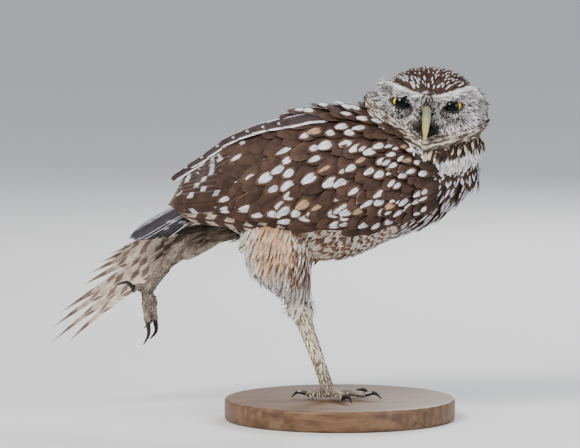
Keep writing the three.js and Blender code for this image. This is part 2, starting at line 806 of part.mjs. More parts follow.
// Assembly

const group = new THREE.Group();

function node(name, body, color, roughness, metalness = 0) {
  const material = new THREE.MeshStandardMaterial({ color, roughness, metalness });
  const mesh = new THREE.Mesh(toGeometry(body), material);
  mesh.name = name;
  group.add(mesh);
  return mesh;
}

const BROWN = 0x6d5548;
const PALE = 0xcdbfae;
const CREAM = 0xd9c8b0;
const HORN = 0x2a2523;

const baseProfile = [
  new THREE.Vector2(0, 0),
  new THREE.Vector2(BASE_RADIUS - BASE_EDGE, 0),
  new THREE.Vector2(BASE_RADIUS, BASE_EDGE),
  new THREE.Vector2(BASE_RADIUS, BASE_HEIGHT - BASE_EDGE),
  new THREE.Vector2(BASE_RADIUS - BASE_EDGE, BASE_HEIGHT),
  new THREE.Vector2(0, BASE_HEIGHT),
];
const baseGeometry = new THREE.LatheGeometry(baseProfile, 40);
baseGeometry.rotateX(Math.PI / 2);
node('stand_base', solid(baseGeometry), 0x8a7d6c, 0.6);

const eyeSockets = [-1, 1].map((side) => ball(eyeCentre(side), EYE_RADIUS + GAP, 14, 10));
const upperBill = bill(0);
const grownUpperBill = bill(GAP);
const grownLowerBill = lowerBill(GAP);
const head = cutBy(
  joined([bareHead, ...[-1, 1].flatMap((side) => [lids(side), ...brows(side)])]),
  [...eyeSockets, grownUpperBill, grownLowerBill],
);
node('head', head, BROWN, 0.9);
node('eye_right', ball(eyeCentre(-1), EYE_RADIUS, 14, 10), 0xd8b82e, 0.1);
node('eye_left', ball(eyeCentre(1), EYE_RADIUS, 14, 10), 0xd8b82e, 0.1);
node('bill_upper', cutBy(upperBill, nostrils()), 0xb0ab63, 0.4);
node('bill_lower', cutBy(lowerBill(0), [grownUpperBill]), 0x9c9858, 0.4);

const neck = neckBlank(0).subtract(grownHead);
node('neck', neck, PALE, 0.9);
const torso = cutBy(bodyLoft(TORSO, 0, 18, 20), [grownNeck, grownHead]);
node('torso', torso, BROWN, 0.9);

const wingRight = cutBy(rightWing(), [grownTorso, grownNeck, grownHead, rightThigh(GAP)]);
node('wing_right', wingRight, BROWN, 0.85);
const wingArm = cutBy(leftArm(0), [grownTorso, grownNeck, grownHead]);
node('wing_left_arm', wingArm, PALE, 0.85);
const wingHand = cutBy(leftHand(), [grownTorso, leftArm(GAP)]);
node('wing_left_hand', wingHand, PALE, 0.85);
const tailBody = cutBy(tail(), [grownTorso]);
node('tail', tailBody, BROWN, 0.85);

node('leg_right_thigh', cutBy(rightThigh(0), [grownTorso, rightShank(GAP)]), CREAM, 0.9);
const rightToes = RIGHT_TOES.map(rightToe);
const rightFoot = foot(RIGHT_FOOT, rightToes.map((t) => toe(t.toe, TOE_THICK, UP)));
const rightClaws = rightToes.map((t) => claw(t.claw, CLAW_THICK, GAP, UP));
const floorCut = solid(new THREE.BoxGeometry(300, 300, 20).translate(0, 0, BASE_HEIGHT + GAP - 10));
node('leg_right_shank', rightShank(0), CREAM, 0.9);
node('foot_right', cutBy(rightFoot, [rightShank(GAP), floorCut, ...rightClaws]), 0x8d8372, 0.8);
rightToes.forEach((t, i) => {
  node(`claw_right_${RIGHT_TOES[i][0]}`, cutBy(claw(t.claw, CLAW_THICK, 0, UP), [floorCut]), HORN, 0.35);
});

node('leg_left_thigh', cutBy(leftThigh(0), [grownTorso, leftShank(GAP)]), CREAM, 0.9);
node('leg_left_shank', leftShank(0), 0x6f6557, 0.9);
const leftFoot = foot(LEFT_FOOT, LEFT_TOES.map((t) => toe(t.toe, TOE_THICK, ACROSS)));
const leftClaws = LEFT_TOES.map((t) => claw(t.claw, CLAW_THICK, GAP, ACROSS));
node('foot_left', cutBy(leftFoot, [leftShank(GAP), ...leftClaws]), 0x7a6f5f, 0.8);
LEFT_TOES.forEach((t) => {
  node(`claw_left_${t.name}`, claw(t.claw, CLAW_THICK, 0, ACROSS), HORN, 0.35);
});

export default group;
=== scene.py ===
import math

import bpy
import numpy as np
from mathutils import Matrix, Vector
from mathutils.bvhtree import BVHTree


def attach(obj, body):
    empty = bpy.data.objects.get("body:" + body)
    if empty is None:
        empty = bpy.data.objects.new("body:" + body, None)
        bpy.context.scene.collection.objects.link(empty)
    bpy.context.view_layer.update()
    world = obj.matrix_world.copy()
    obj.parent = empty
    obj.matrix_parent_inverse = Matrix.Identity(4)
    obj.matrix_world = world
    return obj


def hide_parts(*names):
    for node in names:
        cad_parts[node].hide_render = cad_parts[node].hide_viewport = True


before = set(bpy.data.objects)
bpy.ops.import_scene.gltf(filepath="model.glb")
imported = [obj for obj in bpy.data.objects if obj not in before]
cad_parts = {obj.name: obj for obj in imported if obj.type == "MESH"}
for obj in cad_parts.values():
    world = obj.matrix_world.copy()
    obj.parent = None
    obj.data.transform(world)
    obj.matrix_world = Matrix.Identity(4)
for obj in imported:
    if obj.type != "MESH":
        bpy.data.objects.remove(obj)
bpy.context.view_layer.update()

random = np.random.default_rng(20611)

# The stand: a plain disc that carries the standing foot. It is turned from one board of fine
# grained hardwood, its rims rounded over, and has a satin finish.


class Socket:
    """A shader value that reads like a number in an expression."""

    def __init__(self, tree, link):
        self.tree = tree
        self.link = link

    def node(self, kind, settings=None, links=None, out=0):
        made = self.tree.nodes.new(kind)
        for key, value in (settings or {}).items():
            if key == "stops":
                ramp = made.color_ramp
                while len(ramp.elements) < len(value):
                    ramp.elements.new(0.5)
                for element, (place, colour) in zip(ramp.elements, value):
                    element.position = place
                    element.color = (*colour, 1)
            else:
                setattr(made, key, value)
        for key, value in (links or {}).items():
            if isinstance(value, Socket):
                self.tree.links.new(value.link, made.inputs[key])
            else:
                made.inputs[key].default_value = value
        return Socket(self.tree, made.outputs[out])

    def maths(self, operation, *others):
        links = {0: self}
        links.update({i + 1: other for i, other in enumerate(others)})
        return self.node("ShaderNodeMath", {"operation": operation}, links)

    def __add__(self, other):
        return self.maths("ADD", other)

    __radd__ = __add__

    def __mul__(self, other):
        return self.maths("MULTIPLY", other)

    __rmul__ = __mul__

    def __sub__(self, other):
        return self.maths("SUBTRACT", other)

    def __rsub__(self, other):
        return self.maths("MULTIPLY", -1.0).maths("ADD", other)

    def __truediv__(self, other):
        return self.maths("DIVIDE", other)

    def __abs__(self):
        return self.maths("ABSOLUTE")

    def step(self, low, high):
        """0 below low and 1 above high, with a soft edge; low may be over high."""
        return self.node(
            "ShaderNodeMapRange",
            {"interpolation_type": "SMOOTHSTEP"},
            {"Value": self, "From Min": low, "From Max": high},
        )

    def mix(self, first, second):
        """Colours mixed with this value as the share of the second."""
        made = self.tree.nodes.new("ShaderNodeMix")
        made.data_type = "RGBA"
        self.tree.links.new(self.link, made.inputs["Factor"])
        for key, value in ((6, first), (7, second)):
            if isinstance(value, Socket):
                self.tree.links.new(value.link, made.inputs[key])
            else:
                made.inputs[key].default_value = (*value, 1)
        return Socket(self.tree, made.outputs[2])

    def shade(self, factor):
        """A colour made lighter or darker by a value."""
        return self.node("ShaderNodeVectorMath", {"operation": "SCALE"}, {0: self, "Scale": factor})


def finish(name, roughness):
    """A new material: with it come its shader and the place on the object."""
    made = bpy.data.materials.new(name)
    made.use_nodes = True
    shader = made.node_tree.nodes["Principled BSDF"]
    shader.inputs["Roughness"].default_value = roughness
    start = Socket(made.node_tree, shader.outputs[0])
    return made, shader, start.node("ShaderNodeTexCoord", out=3)


def feed(shader, key, value):
    value.tree.links.new(value.link, shader.inputs[key])


def bump(shader, height, strength, distance):
    links = {"Height": height, "Strength": strength, "Distance": distance}
    feed(shader, "Normal", height.node("ShaderNodeBump", {}, links))


def noise(place, scale, detail=3.0):
    links = {"Vector": place, "Scale": scale, "Detail": detail, "Roughness": 0.55}
    return place.node("ShaderNodeTexNoise", {}, links)


def stretched_noise(place, scales):
    """Noise drawn out along an axis, as barbs and rays are."""
    drawn = place.node("ShaderNodeVectorMath", {"operation": "MULTIPLY"}, {0: place, 1: scales})
    return noise(drawn, 1.0, 2.0)


def carried(place, name):
    """The colour that the mesh carries under a name."""
    return place.node("ShaderNodeAttribute", {"attribute_type": "GEOMETRY", "attribute_name": name})


wood, shader, place = finish("turned_wood", 0.42)
stretched = place.node("ShaderNodeMapping", {}, {"Vector": place, "Scale": (14.0, 160.0, 120.0)})
rings = noise(stretched, 1.6, 5.0)
pores = noise(stretched, 9.0, 2.0)
tone = rings.step(0.32, 0.68)
grain = tone.mix((0.115, 0.062, 0.034), (0.225, 0.135, 0.078))
feed(shader, "Base Color", grain.shade(pores * 0.5 + 0.72))
feed(shader, "Roughness", tone * 0.12 + 0.38)
bump(shader, pores + rings, 0.25, 0.0003)
bpy.ops.object.select_all(action="DESELECT")
BASE_RADIUS = 0.066
BASE_HEIGHT = 0.012
bpy.ops.mesh.primitive_cylinder_add(
    vertices=160, radius=BASE_RADIUS, depth=BASE_HEIGHT, location=(0, 0, BASE_HEIGHT / 2),
)
base = bpy.context.active_object
base.name = "base_disc"
bpy.ops.object.transform_apply(location=True, rotation=True, scale=True)
rounded = base.modifiers.new("rounded rim", "BEVEL")
rounded.width = 0.0016
rounded.segments = 4
bpy.ops.object.modifier_apply(modifier=rounded.name)
bpy.ops.object.shade_smooth_by_angle(angle=math.radians(40))
base.data.materials.append(wood)
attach(base, "root")
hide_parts("stand_base")

# The body's shape: outlines of the closed body and of the shell that the folded wing makes over it,
# in millimetres as x, top z, bottom z and half width.

MM = 0.001
TORSO = np.array([
    [-84, 139, 124, 6], [-78, 144, 119, 11], [-70, 150, 113, 17], [-56, 161, 104, 25],
    [-40, 168, 96, 31], [-20, 174, 91, 35], [0, 176, 91, 37], [14, 175, 95, 37],
    [34, 171, 104, 35], [50, 166, 110, 31], [64, 161, 119, 25], [74, 156, 129, 17], [80, 151, 137, 9],
], float)
CLOAK = np.array([
    [-104, 129, 119, 5], [-98, 135, 114, 9], [-88, 143, 109, 14], [-78, 150, 106, 19],
    [-66, 160, 102, 25], [-52, 168, 96, 32], [-36, 174, 91, 37], [-18, 179, 87, 41],
    [0, 180.5, 87, 42.5], [16, 180, 91, 42], [34, 177, 100, 39], [50, 170, 108, 34], [62, 163, 117, 28],
], float)
HEAD_CENTRE = np.array([48.5, -5.0, 178.0])
HEAD_ROLL = math.radians(4.5)


def lerp(a, b, t):
    return a + (b - a) * t


def smooth(a, b, x):
    t = np.clip((x - a) / (b - a), 0, 1)
    return t * t * (3 - 2 * t)


def unit(v):
    return v / np.maximum(np.linalg.norm(v, axis=-1, keepdims=True), 1e-9)


def torso_middle(x):
    """The height of the torso's middle at each x."""
    return np.interp(x, TORSO[:, 0], (TORSO[:, 1] + TORSO[:, 2]) / 2)


def over_body(rows, x, angle, lift, side):
    """Points over an outlined body: angle 0 is its side and 90 its back, side -1 is the right."""
    x = np.asarray(x, float)
    a = np.radians(angle)
    top, bottom, half = (np.interp(x, rows[:, 0], rows[:, k]) for k in (1, 2, 3))
    rise = (top - bottom) / 2 + lift
    return np.stack([x + 0 * a, side * (half + lift) * np.cos(a), (top + bottom) / 2 + rise * np.sin(a)], -1)


def turned_out(local):
    """Directions on the head's axes, x out of the face, y to the owl's left and z up, in the model's."""
    local = np.asarray(local, float)
    c, s = math.cos(HEAD_ROLL), math.sin(HEAD_ROLL)
    x, y, z = local[..., 0], local[..., 1], local[..., 2]
    return np.stack([y * c + z * s, -x, z * c - y * s], -1)


def in_head(local):
    return turned_out(local) + HEAD_CENTRE


def to_head(points):
    c, s = math.cos(HEAD_ROLL), math.sin(HEAD_ROLL)
    p = np.asarray(points, float) - HEAD_CENTRE
    x, y, z = -p[..., 1], p[..., 0], p[..., 2]
    return np.stack([x, y * c - z * s, z * c + y * s], -1)


def loose(name, points, faces):
    """A plain object from points in millimetres and faces."""
    data = bpy.data.meshes.new(name)
    data.from_pydata((np.asarray(points) * MM).tolist(), [], faces)
    data.update()
    made = bpy.data.objects.new(name, data)
    bpy.context.scene.collection.objects.link(made)
    return made


def dress(piece, material):
    """A finished piece: smooth, in one material, and still on the root."""
    piece.data.materials.clear()
    piece.data.materials.append(material)
    piece.data.polygons.foreach_set("use_smooth", [True] * len(piece.data.polygons))
    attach(piece, "root")
    return piece


def loft(rings):
    """Points and faces of a closed skin over rings of points, with a point to close each end."""
    rows, count = len(rings), len(rings[0])
    points = [p for ring in rings for p in ring]
    faces = []
    for i in range(rows - 1):
        for j in range(count):
            k = (j + 1) % count
            a, b = i * count + j, i * count + k
            faces.append((a, b, b + count, a + count))
    points.append(np.mean(rings[0], 0))
    points.append(np.mean(rings[-1], 0))
    for j in range(count):
        k = (j + 1) % count
        faces.append((len(points) - 2, k, j))
        faces.append((len(points) - 1, (rows - 1) * count + j, (rows - 1) * count + k))
    return points, faces


def spline(points, t):
    """A smooth curve through a few points, read at t from 0 to 1."""
    p = np.asarray(points, float)
    spans = len(p) - 1
    at = np.clip(np.asarray(t, float) * spans, 0, spans - 1e-6)
    i = at.astype(int)
    f = (at - i)[..., None]
    p0, p1 = p[np.maximum(i - 1, 0)], p[i]
    p2, p3 = p[i + 1], p[np.minimum(i + 2, spans)]
    return 0.5 * (2 * p1 + (p2 - p0) * f + (2 * p0 - 5 * p1 + 4 * p2 - p3) * f * f
                  + (3 * p1 - p0 - 3 * p2 + p3) * f ** 3)


def limb_rings(points, sizes, steps, around, up):
    """Rings of a limb along a curve; sizes are rows of place, half width and half thickness."""
    t = np.linspace(0, 1, steps + 1)
    centre = spline(points, t)
    along = unit(spline(points, np.minimum(t + 0.01, 1)) - spline(points, np.maximum(t - 0.01, 0)))
    side = unit(np.cross(along, up))
    over = unit(np.cross(side, along))
    sizes = np.asarray(sizes, float)
    wide = np.interp(t, sizes[:, 0], sizes[:, 1])[:, None, None]
    thick = np.interp(t, sizes[:, 0], sizes[:, 2])[:, None, None]
    a = np.linspace(0, 2 * math.pi, around, endpoint=False)[None, :, None]
    rings = centre[:, None] + side[:, None] * wide * np.cos(a) + over[:, None] * thick * np.sin(a)
    return rings[:, ::-1]


# The skin: one closed surface under the whole coat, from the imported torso, neck, head and thighs,
# with the folded wing's pad and the stretched wing's arm, drawn in by the depth of the feathers.

LEFT_SHOULDER = np.array([44.0, 32, 154])
LEFT_ELBOW = np.array([6.0, 46, 140])
LEFT_WRIST = np.array([-32.0, 42, 121])
LEFT_HAND = np.array([-61.0, 36, 109])
ARM_LINE = [LEFT_SHOULDER, LEFT_ELBOW, LEFT_WRIST, LEFT_HAND]


def wing_pad():
    """The folded right wing's flesh and short coverts, a lens over the body's side."""
    rings = []
    for s in np.linspace(0, 1, 17):
        x = lerp(-70, 54, s)
        edge = math.sqrt(max(0.04, 1 - (2 * s - 1) ** 4))
        low, high = -38 * edge, 20 + 52 * edge
        angles = np.linspace(low, high, 14)
        rim = np.sqrt(np.maximum(0.05, 1 - np.linspace(-1, 1, 14) ** 4)) * edge
        outer = over_body(CLOAK, np.full(14, x), angles, -1.2 - 3 * (1 - rim), -1)
        inner = over_body(TORSO, np.full(14, np.clip(x, -82, 78)), angles[::-1], -3, -1)
        rings.append(np.concatenate([outer, inner]))
    return loft(rings)


def node_copies(nodes):
    copies = []
    for node in nodes:
        copy = bpy.data.objects.new(node + "_copy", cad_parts[node].data.copy())
        bpy.context.scene.collection.objects.link(copy)
        copies.append(copy)
    return copies


def one_surface(name, parts, voxel, rounds, depth_at):
    """Parts fused into one skin, softened and drawn in, with its points in millimetres."""
    bpy.ops.object.select_all(action="DESELECT")
    for part in parts:
        part.select_set(True)
    bpy.context.view_layer.objects.active = parts[0]
    bpy.ops.object.join()
    made = bpy.context.view_layer.objects.active
    made.name = name
    made.data.name = name
    remesh = made.modifiers.new("one surface", "REMESH")
    remesh.mode = "VOXEL"
    remesh.voxel_size = voxel
    bpy.ops.object.modifier_apply(modifier=remesh.name)
    soften = made.modifiers.new("soften", "SMOOTH")
    soften.factor = 0.5
    soften.iterations = rounds
    bpy.ops.object.modifier_apply(modifier=soften.name)
    many = len(made.data.vertices)
    at, out = np.empty(many * 3), np.empty(many * 3)
    made.data.vertices.foreach_get("co", at)
    made.data.vertices.foreach_get("normal", out)
    at = at.reshape(-1, 3)
    depth = depth_at(at / MM) * MM
    at -= out.reshape(-1, 3) * depth[:, None]
    made.data.vertices.foreach_set("co", at.ravel())
    made.data.update()
    return made, at / MM


def coat_depth(p):
    """The coat is thin over the face and deeper on the rest."""
    h = to_head(p)
    in_face = (np.linalg.norm(h / [30, 38, 27], axis=1) < 1.1) & (h[:, 0] > 5)
    return np.where(in_face, 0.7, 1.5)


FLESH = ("torso", "neck", "head", "leg_right_thigh", "leg_left_thigh")
arm = limb_rings(
    ARM_LINE, [[0, 14, 3.4], [0.3, 16, 5], [0.6, 12, 4.6], [0.85, 6, 4], [1, 2.4, 2]],
    16, 14, [0.12, 1, 0.1],
)
parts = node_copies(FLESH) + [loose("pad", *wing_pad()), loose("arm", *loft(arm))]
skin, places = one_surface("skin", parts, 0.0011, 6, coat_depth)
skin_tree = BVHTree.FromObject(skin, bpy.context.evaluated_depsgraph_get())

# The coat's markings: warm brown above with pale oval spots, a white brow, chin and throat,
# a barred belly, buff thighs and a grey-white face. Skin and feathers both take them from here.

BROWN = np.array([0.092, 0.054, 0.040])
DARK = np.array([0.036, 0.024, 0.019])
WHITE = np.array([0.68, 0.68, 0.72])
BUFF = np.array([0.52, 0.30, 0.17])
CREAM = np.array([0.66, 0.54, 0.42])
RUFOUS = np.array([0.165, 0.080, 0.044])
GREY = np.array([0.44, 0.41, 0.40])
EYE_SPACING = 29.0
EYE_RISE = 3.4

KINDS = ["back", "breast", "belly", "thigh", "vent", "neck", "ruff", "throat", "crown", "nape",
         "face", "brow", "chin", "lores", "shank"]


def brow_height(across):
    return EYE_RISE + 5.6 + (across - 4) * 0.20


def face_edge(y):
    """The height of the face's lower margin, a V under the bill that climbs to both sides."""
    return -22.4 + np.where(y > 0, 0.33, 0.60) * np.abs(y)


def within(p, centre, radii, reach):
    return np.linalg.norm((p - np.array(centre)) / radii, axis=1) < reach


def kinds_at(p):
    """The kind of feather at each place on the skin, from where it grows; later rules win."""
    h = to_head(p)
    x, y, z = p.T
    mid = torso_middle(x)
    front, side, up = h.T
    across = np.abs(side)
    line = brow_height(across)
    edge = face_edge(side)
    head = within(h, (0, 0, 0), [32, 37.5, 27.5], 1.04)
    near_head = within(h, (0, 0, 0), [32, 37.5, 27.5], 1.2)
    around_face = within(h, (0, 0, 0), [35, 41, 36], 1.12)
    face = head & (front > 3) & (up < line + 1.0) & (up > edge)
    brow = (up > line - 3.0) & (up < line + lerp(0.6, 3.4, smooth(5, 26, across)))
    below = around_face & (front > -6) & (up <= edge)
    rules = (
        ("breast", (z < mid + 6) & (x > 28)),
        ("belly", (z < mid - 16 + 0.12 * x) & (x <= 40)),
        ("vent", (x < -46) & (z < mid - 2)),
        ("thigh", (z < 100) & (x < -12)),
        ("thigh", (z < 116) & (x > -52) & (x < -10 - 0.5 * (z - 96)) & (y < 4)),
        ("thigh", (x < -44) & (z < 121) & (y > 2) & (y < 28)),
        ("vent", (x < 10) & (y > 29) & (z < 128)),
        ("neck", within(p, (47, -4, 155.5), [37.5, 32.5, 21.5], 1.02)),
        ("nape", near_head & (up > -6)),
        ("crown", head),
        ("nape", head & (front < -6)),
        ("face", face),
        ("brow", head & (front > 6) & brow & (across < 31)),
        ("lores", face & (across + 0.35 * np.abs(up + 8) < 9) & (up > -17)),
        ("chin", face & (up < edge + 6.5)),
        # a brown collar under the face, and a white patch on the throat, bare of brown to its left
        ("ruff", below & (up > edge - 5.5)),
        ("throat", below & (side > 3) & (up <= edge - 5) & (up > edge - 14)),
        ("chin", around_face & (front > 4) & (up < edge + 7.5) & (up > edge)),
        ("throat", below & (side <= 0) & (up > edge - 2.0)),
    )
    kind = np.full(len(p), KINDS.index("back"))
    for name, here in rules:
        kind[here] = KINDS.index(name)
    return kind


def among(kind, *names):
    return np.isin(kind, [KINDS.index(name) for name in names])


def behind_leg(kind, p):
    """The stretched leg's feathers behind the tail's root."""
    return among(kind, "thigh") & (p[:, 1] > 2) & (p[:, 0] < -44)


# kind: length, width, spacing, tint, marking, spot (half width, half length, place, offset), slope
LOOK = {
    "back": (12.0, 7.4, 3.3, BROWN, WHITE, (0.20, 0.15, 0.80, 0.0), 0.10),
    "breast": (11.0, 3.6, 2.7, BROWN * 1.1, WHITE, (0.22, 0.22, 0.74, 0.0), 0.20),
    "belly": (11.0, 4.6, 2.5, CREAM, RUFOUS, (0.0, 0.0, 0.5, 0.0), 0.12),
    "thigh": (11.5, 1.8, 1.5, CREAM * 1.02, BUFF, (0.0, 0.0, 0.5, 0.0), 0.24),
    "vent": (9.0, 2.5, 1.9, CREAM, WHITE, (0.0, 0.0, 0.5, 0.0), 0.14),
    "neck": (7.5, 3.2, 2.0, BROWN, WHITE, (0.24, 0.20, 0.74, 0.0), 0.16),
    "ruff": (6.0, 2.2, 1.4, BROWN * 0.8, BUFF, (0.0, 0.0, 0.8, 0.0), 0.20),
    "throat": (7.0, 1.7, 1.3, WHITE * 1.05, WHITE, (0.0, 0.0, 0.5, 0.0), 0.28),
    "crown": (4.8, 2.2, 1.5, BROWN * 0.85, WHITE, (0.19, 0.22, 0.76, 0.0), 0.14),
    "nape": (6.0, 2.6, 1.75, BROWN, WHITE, (0.22, 0.24, 0.74, 0.0), 0.14),
    "face": (4.6, 0.85, 0.80, GREY, WHITE, (0.0, 0.0, 0.5, 0.0), 0.15),
    "brow": (5.6, 1.0, 0.75, WHITE, WHITE, (0.0, 0.0, 0.5, 0.0), 0.24),
    "chin": (5.4, 0.95, 0.80, WHITE * 0.95, BUFF, (0.0, 0.0, 0.5, 0.0), 0.16),
    "lores": (4.4, 0.55, 0.62, GREY * 0.55, DARK, (0.0, 0.0, 0.5, 0.0), 0.30),
    "shank": (3.0, 0.8, 1.0, CREAM, WHITE, (0.0, 0.0, 0.5, 0.0), 0.20),
}


def lie_at(p, n, kind):
    """The way each feather points: back along the body, and out from the eyes over the face."""
    ways = {
        "breast": [-0.8, 0.0, -0.9], "belly": [-1.0, 0.0, -0.5], "thigh": [-0.25, 0.0, -1.0],
        "neck": [-0.35, -0.15, -1.0], "ruff": [-0.35, -0.15, -1.0], "throat": [0.30, -0.25, -1.0],
    }
    flow = np.tile([-1.0, 0.0, -0.30], (len(p), 1))
    for name, way in ways.items():
        flow[among(kind, name)] = way
    flow[behind_leg(kind, p)] = [-1.0, 0, -0.35]
    # head directions are worked out on its own axes
    h = to_head(p)
    ones, side = np.ones(len(h)), np.sign(h[:, 1])
    eye = np.stack([14.0 * ones, side * EYE_SPACING / 2, EYE_RISE * ones], 1)
    lift = lerp(-0.30, 0.45, smooth(-2.5, 2.0, h[:, 2] - brow_height(np.abs(h[:, 1]))))
    climb = np.where(h[:, 1] > 0, 0.34, 0.60)
    upper = smooth(-8, -2, h[:, 2])
    head_ways = {
        "crown": [-ones, h[:, 1] * 0.035, 0.6 - h[:, 2] * 0.045],
        "nape": [-0.6 * ones, 0 * ones, -ones],
        "face": (unit((h - eye) * [0.4, 1, 1]) + [-0.15, 0, -0.10]).T,
        "brow": [0.3 * ones, side, lift],
        "chin": [0 * ones, side, climb],
        "lores": [lerp(0.2, 0.5, upper), side * lerp(0.9, 0.35, upper), lerp(-0.4, -0.9, upper)],
    }
    for name, way in head_ways.items():
        here = among(kind, name)
        flow[here] = turned_out(np.stack(way, 1))[here]
    flow = flow - n * np.sum(flow * n, 1, keepdims=True)
    return unit(flow)


# Small body feathers: thin vanes of solid mesh, rooted in the skin, one over the next down the body.


def feather_arrays(roots, along, out, length, width, slope, droop, rings=5, tip=0.30, thick=0.16):
    """Points of closed feathers, in millimetres: rings of four points, then a point at the tip."""
    side = unit(np.cross(along, out))
    out = unit(np.cross(side, along))
    t = np.linspace(0, 1, rings + 1)[None, :, None]
    swell = lerp(0.45, 1.0, smooth(0, 0.35, t))
    taper = np.sqrt(np.clip(1 - (np.clip(t - (1 - tip), 0, 1) / tip) ** 2, 0, 1))
    half = (width[:, None, None] / 2) * swell * np.maximum(taper, 0.06)
    span = length[:, None, None]
    rise = slope[:, None, None] * span * (t - droop[:, None, None] * t * t) - 0.35 * (1 - t)
    centre = roots[:, None] + along[:, None] * span * t + out[:, None] * rise
    camber = 0.16 * half
    deep = thick * (1 - 0.5 * t) * np.minimum(1, width[:, None, None] / 2)
    left = centre - side[:, None] * half - out[:, None] * camber
    right = centre + side[:, None] * half - out[:, None] * camber
    ring = np.stack([left, centre + out[:, None] * deep, right, centre - out[:, None] * deep * 0.6], 2)
    body = ring[:, :-1].reshape(len(roots), rings * 4, 3)
    return np.concatenate([body, centre[:, -1:, :]], 1)


def vane_faces(rings, around):
    """Faces of one closed vane that ends in a point: loops of point numbers, and each one's length."""
    loops, sizes = list(range(around)), [around]
    for i in range(rings - 1):
        for j in range(around):
            a, b = i * around + j, i * around + (j + 1) % around
            loops += [a, a + around, b + around, b]
            sizes.append(4)
    end = rings * around
    for j in range(around):
        loops += [end - around + j, end, end - around + (j + 1) % around]
        sizes.append(3)
    return np.array(loops), np.array(sizes)


def vane_map(rings, around):
    """A vane's own map: u across it from edge to edge, and v along it."""
    u = np.abs(np.abs(np.arange(around) - around / 2) - around / 2) / (around / 2)
    v = np.repeat(np.linspace(0, 1, rings + 1)[:-1], around)
    return np.stack([np.append(np.tile(u, rings), 0.5), np.append(v, 1.0)], 1)


def unwrap(p, on_head):
    """The skin's own unwrap: round and along the body, or round the head's upright axis."""
    h = to_head(p)
    turn = np.arctan2(p[:, 1], p[:, 2] - torso_middle(p[:, 0])) / (2 * math.pi) + 0.5
    body = np.stack([(p[:, 0] + 180) / 280, turn], 1)
    polar = np.arccos(np.clip(unit(h)[:, 2], -1, 1)) / math.pi
    head = np.stack([np.arctan2(h[:, 1], h[:, 0]) / (2 * math.pi) + 0.5, polar], 1)
    return head if on_head else body


def joined_mesh(name, points, around, roots, on_head, attributes):
    """One piece from many like vanes, with its UV maps and per-feather values."""
    many, per = points.shape[:2]
    loops, sizes = vane_faces((per - 1) // around, around)
    data = bpy.data.meshes.new(name)
    data.vertices.add(many * per)
    data.vertices.foreach_set("co", (points * MM).ravel())
    all_loops = (loops[None] + np.arange(many)[:, None] * per).ravel()
    all_sizes = np.tile(sizes, many)
    data.loops.add(len(all_loops))
    data.loops.foreach_set("vertex_index", all_loops)
    data.polygons.add(len(all_sizes))
    data.polygons.foreach_set("loop_start", np.concatenate([[0], np.cumsum(all_sizes)[:-1]]))
    data.update(calc_edges=True)
    # a vane's two edges are crisp, so its upper side is lit evenly out to them
    ends = np.empty(len(data.edges) * 2, int)
    data.edges.foreach_get("vertices", ends)
    place = ends.reshape(-1, 2) % per
    at_tip = place == per - 1
    turn = np.where(at_tip, place[:, ::-1] % around, place % around)
    crisp = (turn[:, 0] == turn[:, 1]) & (turn[:, 0] % (around // 2) == 0)
    sharp = data.attributes.new("sharp_edge", "BOOLEAN", "EDGE")
    sharp.data.foreach_set("value", crisp)
    # the bake map is the skin's unwrap: each feather a small patch at its root's place on it
    flat = vane_map((per - 1) // around, around)
    patches = unwrap(roots, on_head)[:, None] * 0.985 + 0.006 + (flat[None] - 0.5) * 0.003
    for key, places in (("Vane", np.tile(flat, (many, 1, 1))), ("OFBake", patches)):
        layer = data.uv_layers.new(name=key)
        layer.data.foreach_set("uv", places.reshape(-1, 2)[all_loops].ravel())
    for key, values in attributes.items():
        layer = data.attributes.new(key, "FLOAT_COLOR", "POINT")
        spread = values if values.ndim == 3 else np.repeat(values[:, None], per, 1)
        layer.data.foreach_set("color", spread.astype(np.float32).ravel())
    piece = bpy.data.objects.new(name, data)
    bpy.context.scene.collection.objects.link(piece)
    return dress(piece, plumage)


